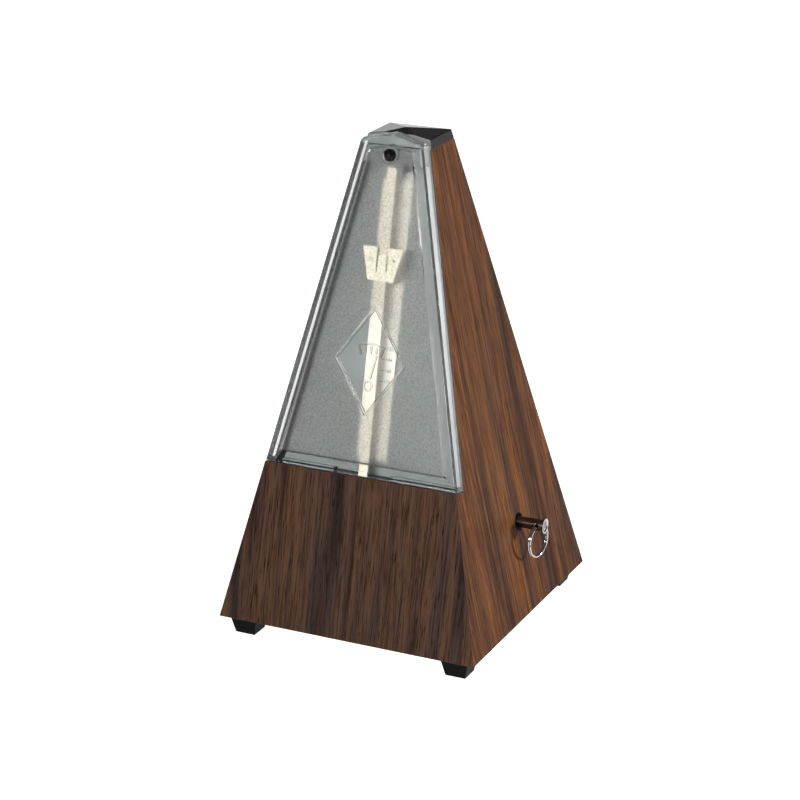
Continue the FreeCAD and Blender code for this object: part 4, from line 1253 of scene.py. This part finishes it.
class Clockwork:
    """The movement inside the casing."""

    def build(self, shop: Workshop) -> None:
        """Give each part of the movement its metal.

        Args:
            shop: The workshop.
        """
        for metal in Metal:
            finish, nodes = metal.value
            for node in nodes:
                shop.finishes.dress(bpy.data.objects[node], finish)
                LOG.info("%s is %s", node, finish)


@dataclass(frozen=True)
class Lamp:
    """A square soft box that faces a point on the object's axis."""

    name: str
    spot: tuple[float, float, float]
    aim: float
    size: float
    power: float

    def build(self) -> None:
        """Hang the lamp."""
        bpy.ops.object.light_add(type="AREA", location=self.spot)
        lamp = bpy.context.object
        lamp.name = self.name
        lamp.data.shape = "SQUARE"
        lamp.data.size = self.size
        lamp.data.energy = self.power
        facing = Vector((0, 0, self.aim)) - Vector(self.spot)
        lamp.rotation_euler = facing.to_track_quat("-Z", "Y").to_euler()


@dataclass
class Studio:
    """The pale floor, the lamps and the camera."""

    LAMPS = (
        Lamp("front_lamp", (-0.1, -2.0, 0.8), 0.1, 0.5, 25),
        Lamp("side_lamp", (1.6, 1.0, 0.35), 0.05, 0.25, 60),
        Lamp("rear_lamp", (-0.9, 1.5, 0.5), 0.2, 0.5, 0.7),
    )

    middle: float
    eye: tuple[float, float, float] = (0.4373, -0.9236, 0.4632)
    look: tuple[float, float, float] = (-0.4051, 0.8500, -0.3366)
    lens: float = 111.6
    floor_size: float = 120.0
    floor_tone: float = 0.86
    floor_glow: float = 0.85
    sky: float = 0.18

    def build(self) -> None:
        """Set the stage."""
        bpy.ops.mesh.primitive_plane_add(size=self.floor_size, location=(0, 0, 0))
        floor = bpy.context.object
        floor.name = "floor"
        graph = Graph("studio_floor")
        graph.shade(Base_Color=(*[self.floor_tone] * 3, 1), Roughness=0.9, Specular_IOR_Level=0.1,
                    Emission_Color=(1, 1, 1, 1), Emission_Strength=self.floor_glow)
        floor.data.materials.append(graph.material)
        world = bpy.data.worlds.new("studio")
        world.use_nodes = True
        light = world.node_tree.nodes["Background"]
        light.inputs["Color"].default_value = (1, 1, 1, 1)
        light.inputs["Strength"].default_value = self.sky
        scene = bpy.context.scene
        scene.world = world
        scene.view_settings.view_transform = "Standard"
        for lamp in self.LAMPS:
            lamp.build()
        bpy.ops.object.camera_add(location=Vector(self.eye) + Vector((self.middle, 0, 0)))
        camera = bpy.context.object
        camera.name = "camera"
        camera.rotation_euler = Vector(self.look).to_track_quat("-Z", "Y").to_euler()
        camera.data.lens = self.lens
        camera.data.sensor_width = 36
        camera.data.clip_start = 0.01
        scene.camera = camera


def main() -> None:
    """Build the object and its stage, and log how many pieces were made."""
    logging.basicConfig(level=logging.INFO, format="%(name)s: %(message)s")
    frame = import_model()
    shop = Workshop(frame, Finishes())
    front = FrontPlane.from_joints(shop)
    Casing().build(shop, front.origin.x)
    cover = Cover()
    cover.build(shop, front)
    Ornament().build(shop, front, cover.sizes.window)
    Scale().build(shop, front)
    Pendulum().build(shop, front)
    WindingKey().build(shop, front.origin.x)
    Clockwork().build(shop)
    Studio(front.origin.x).build()
    LOG.info("%d pieces made", len(shop.made))


if __name__ == "__main__":
    main()
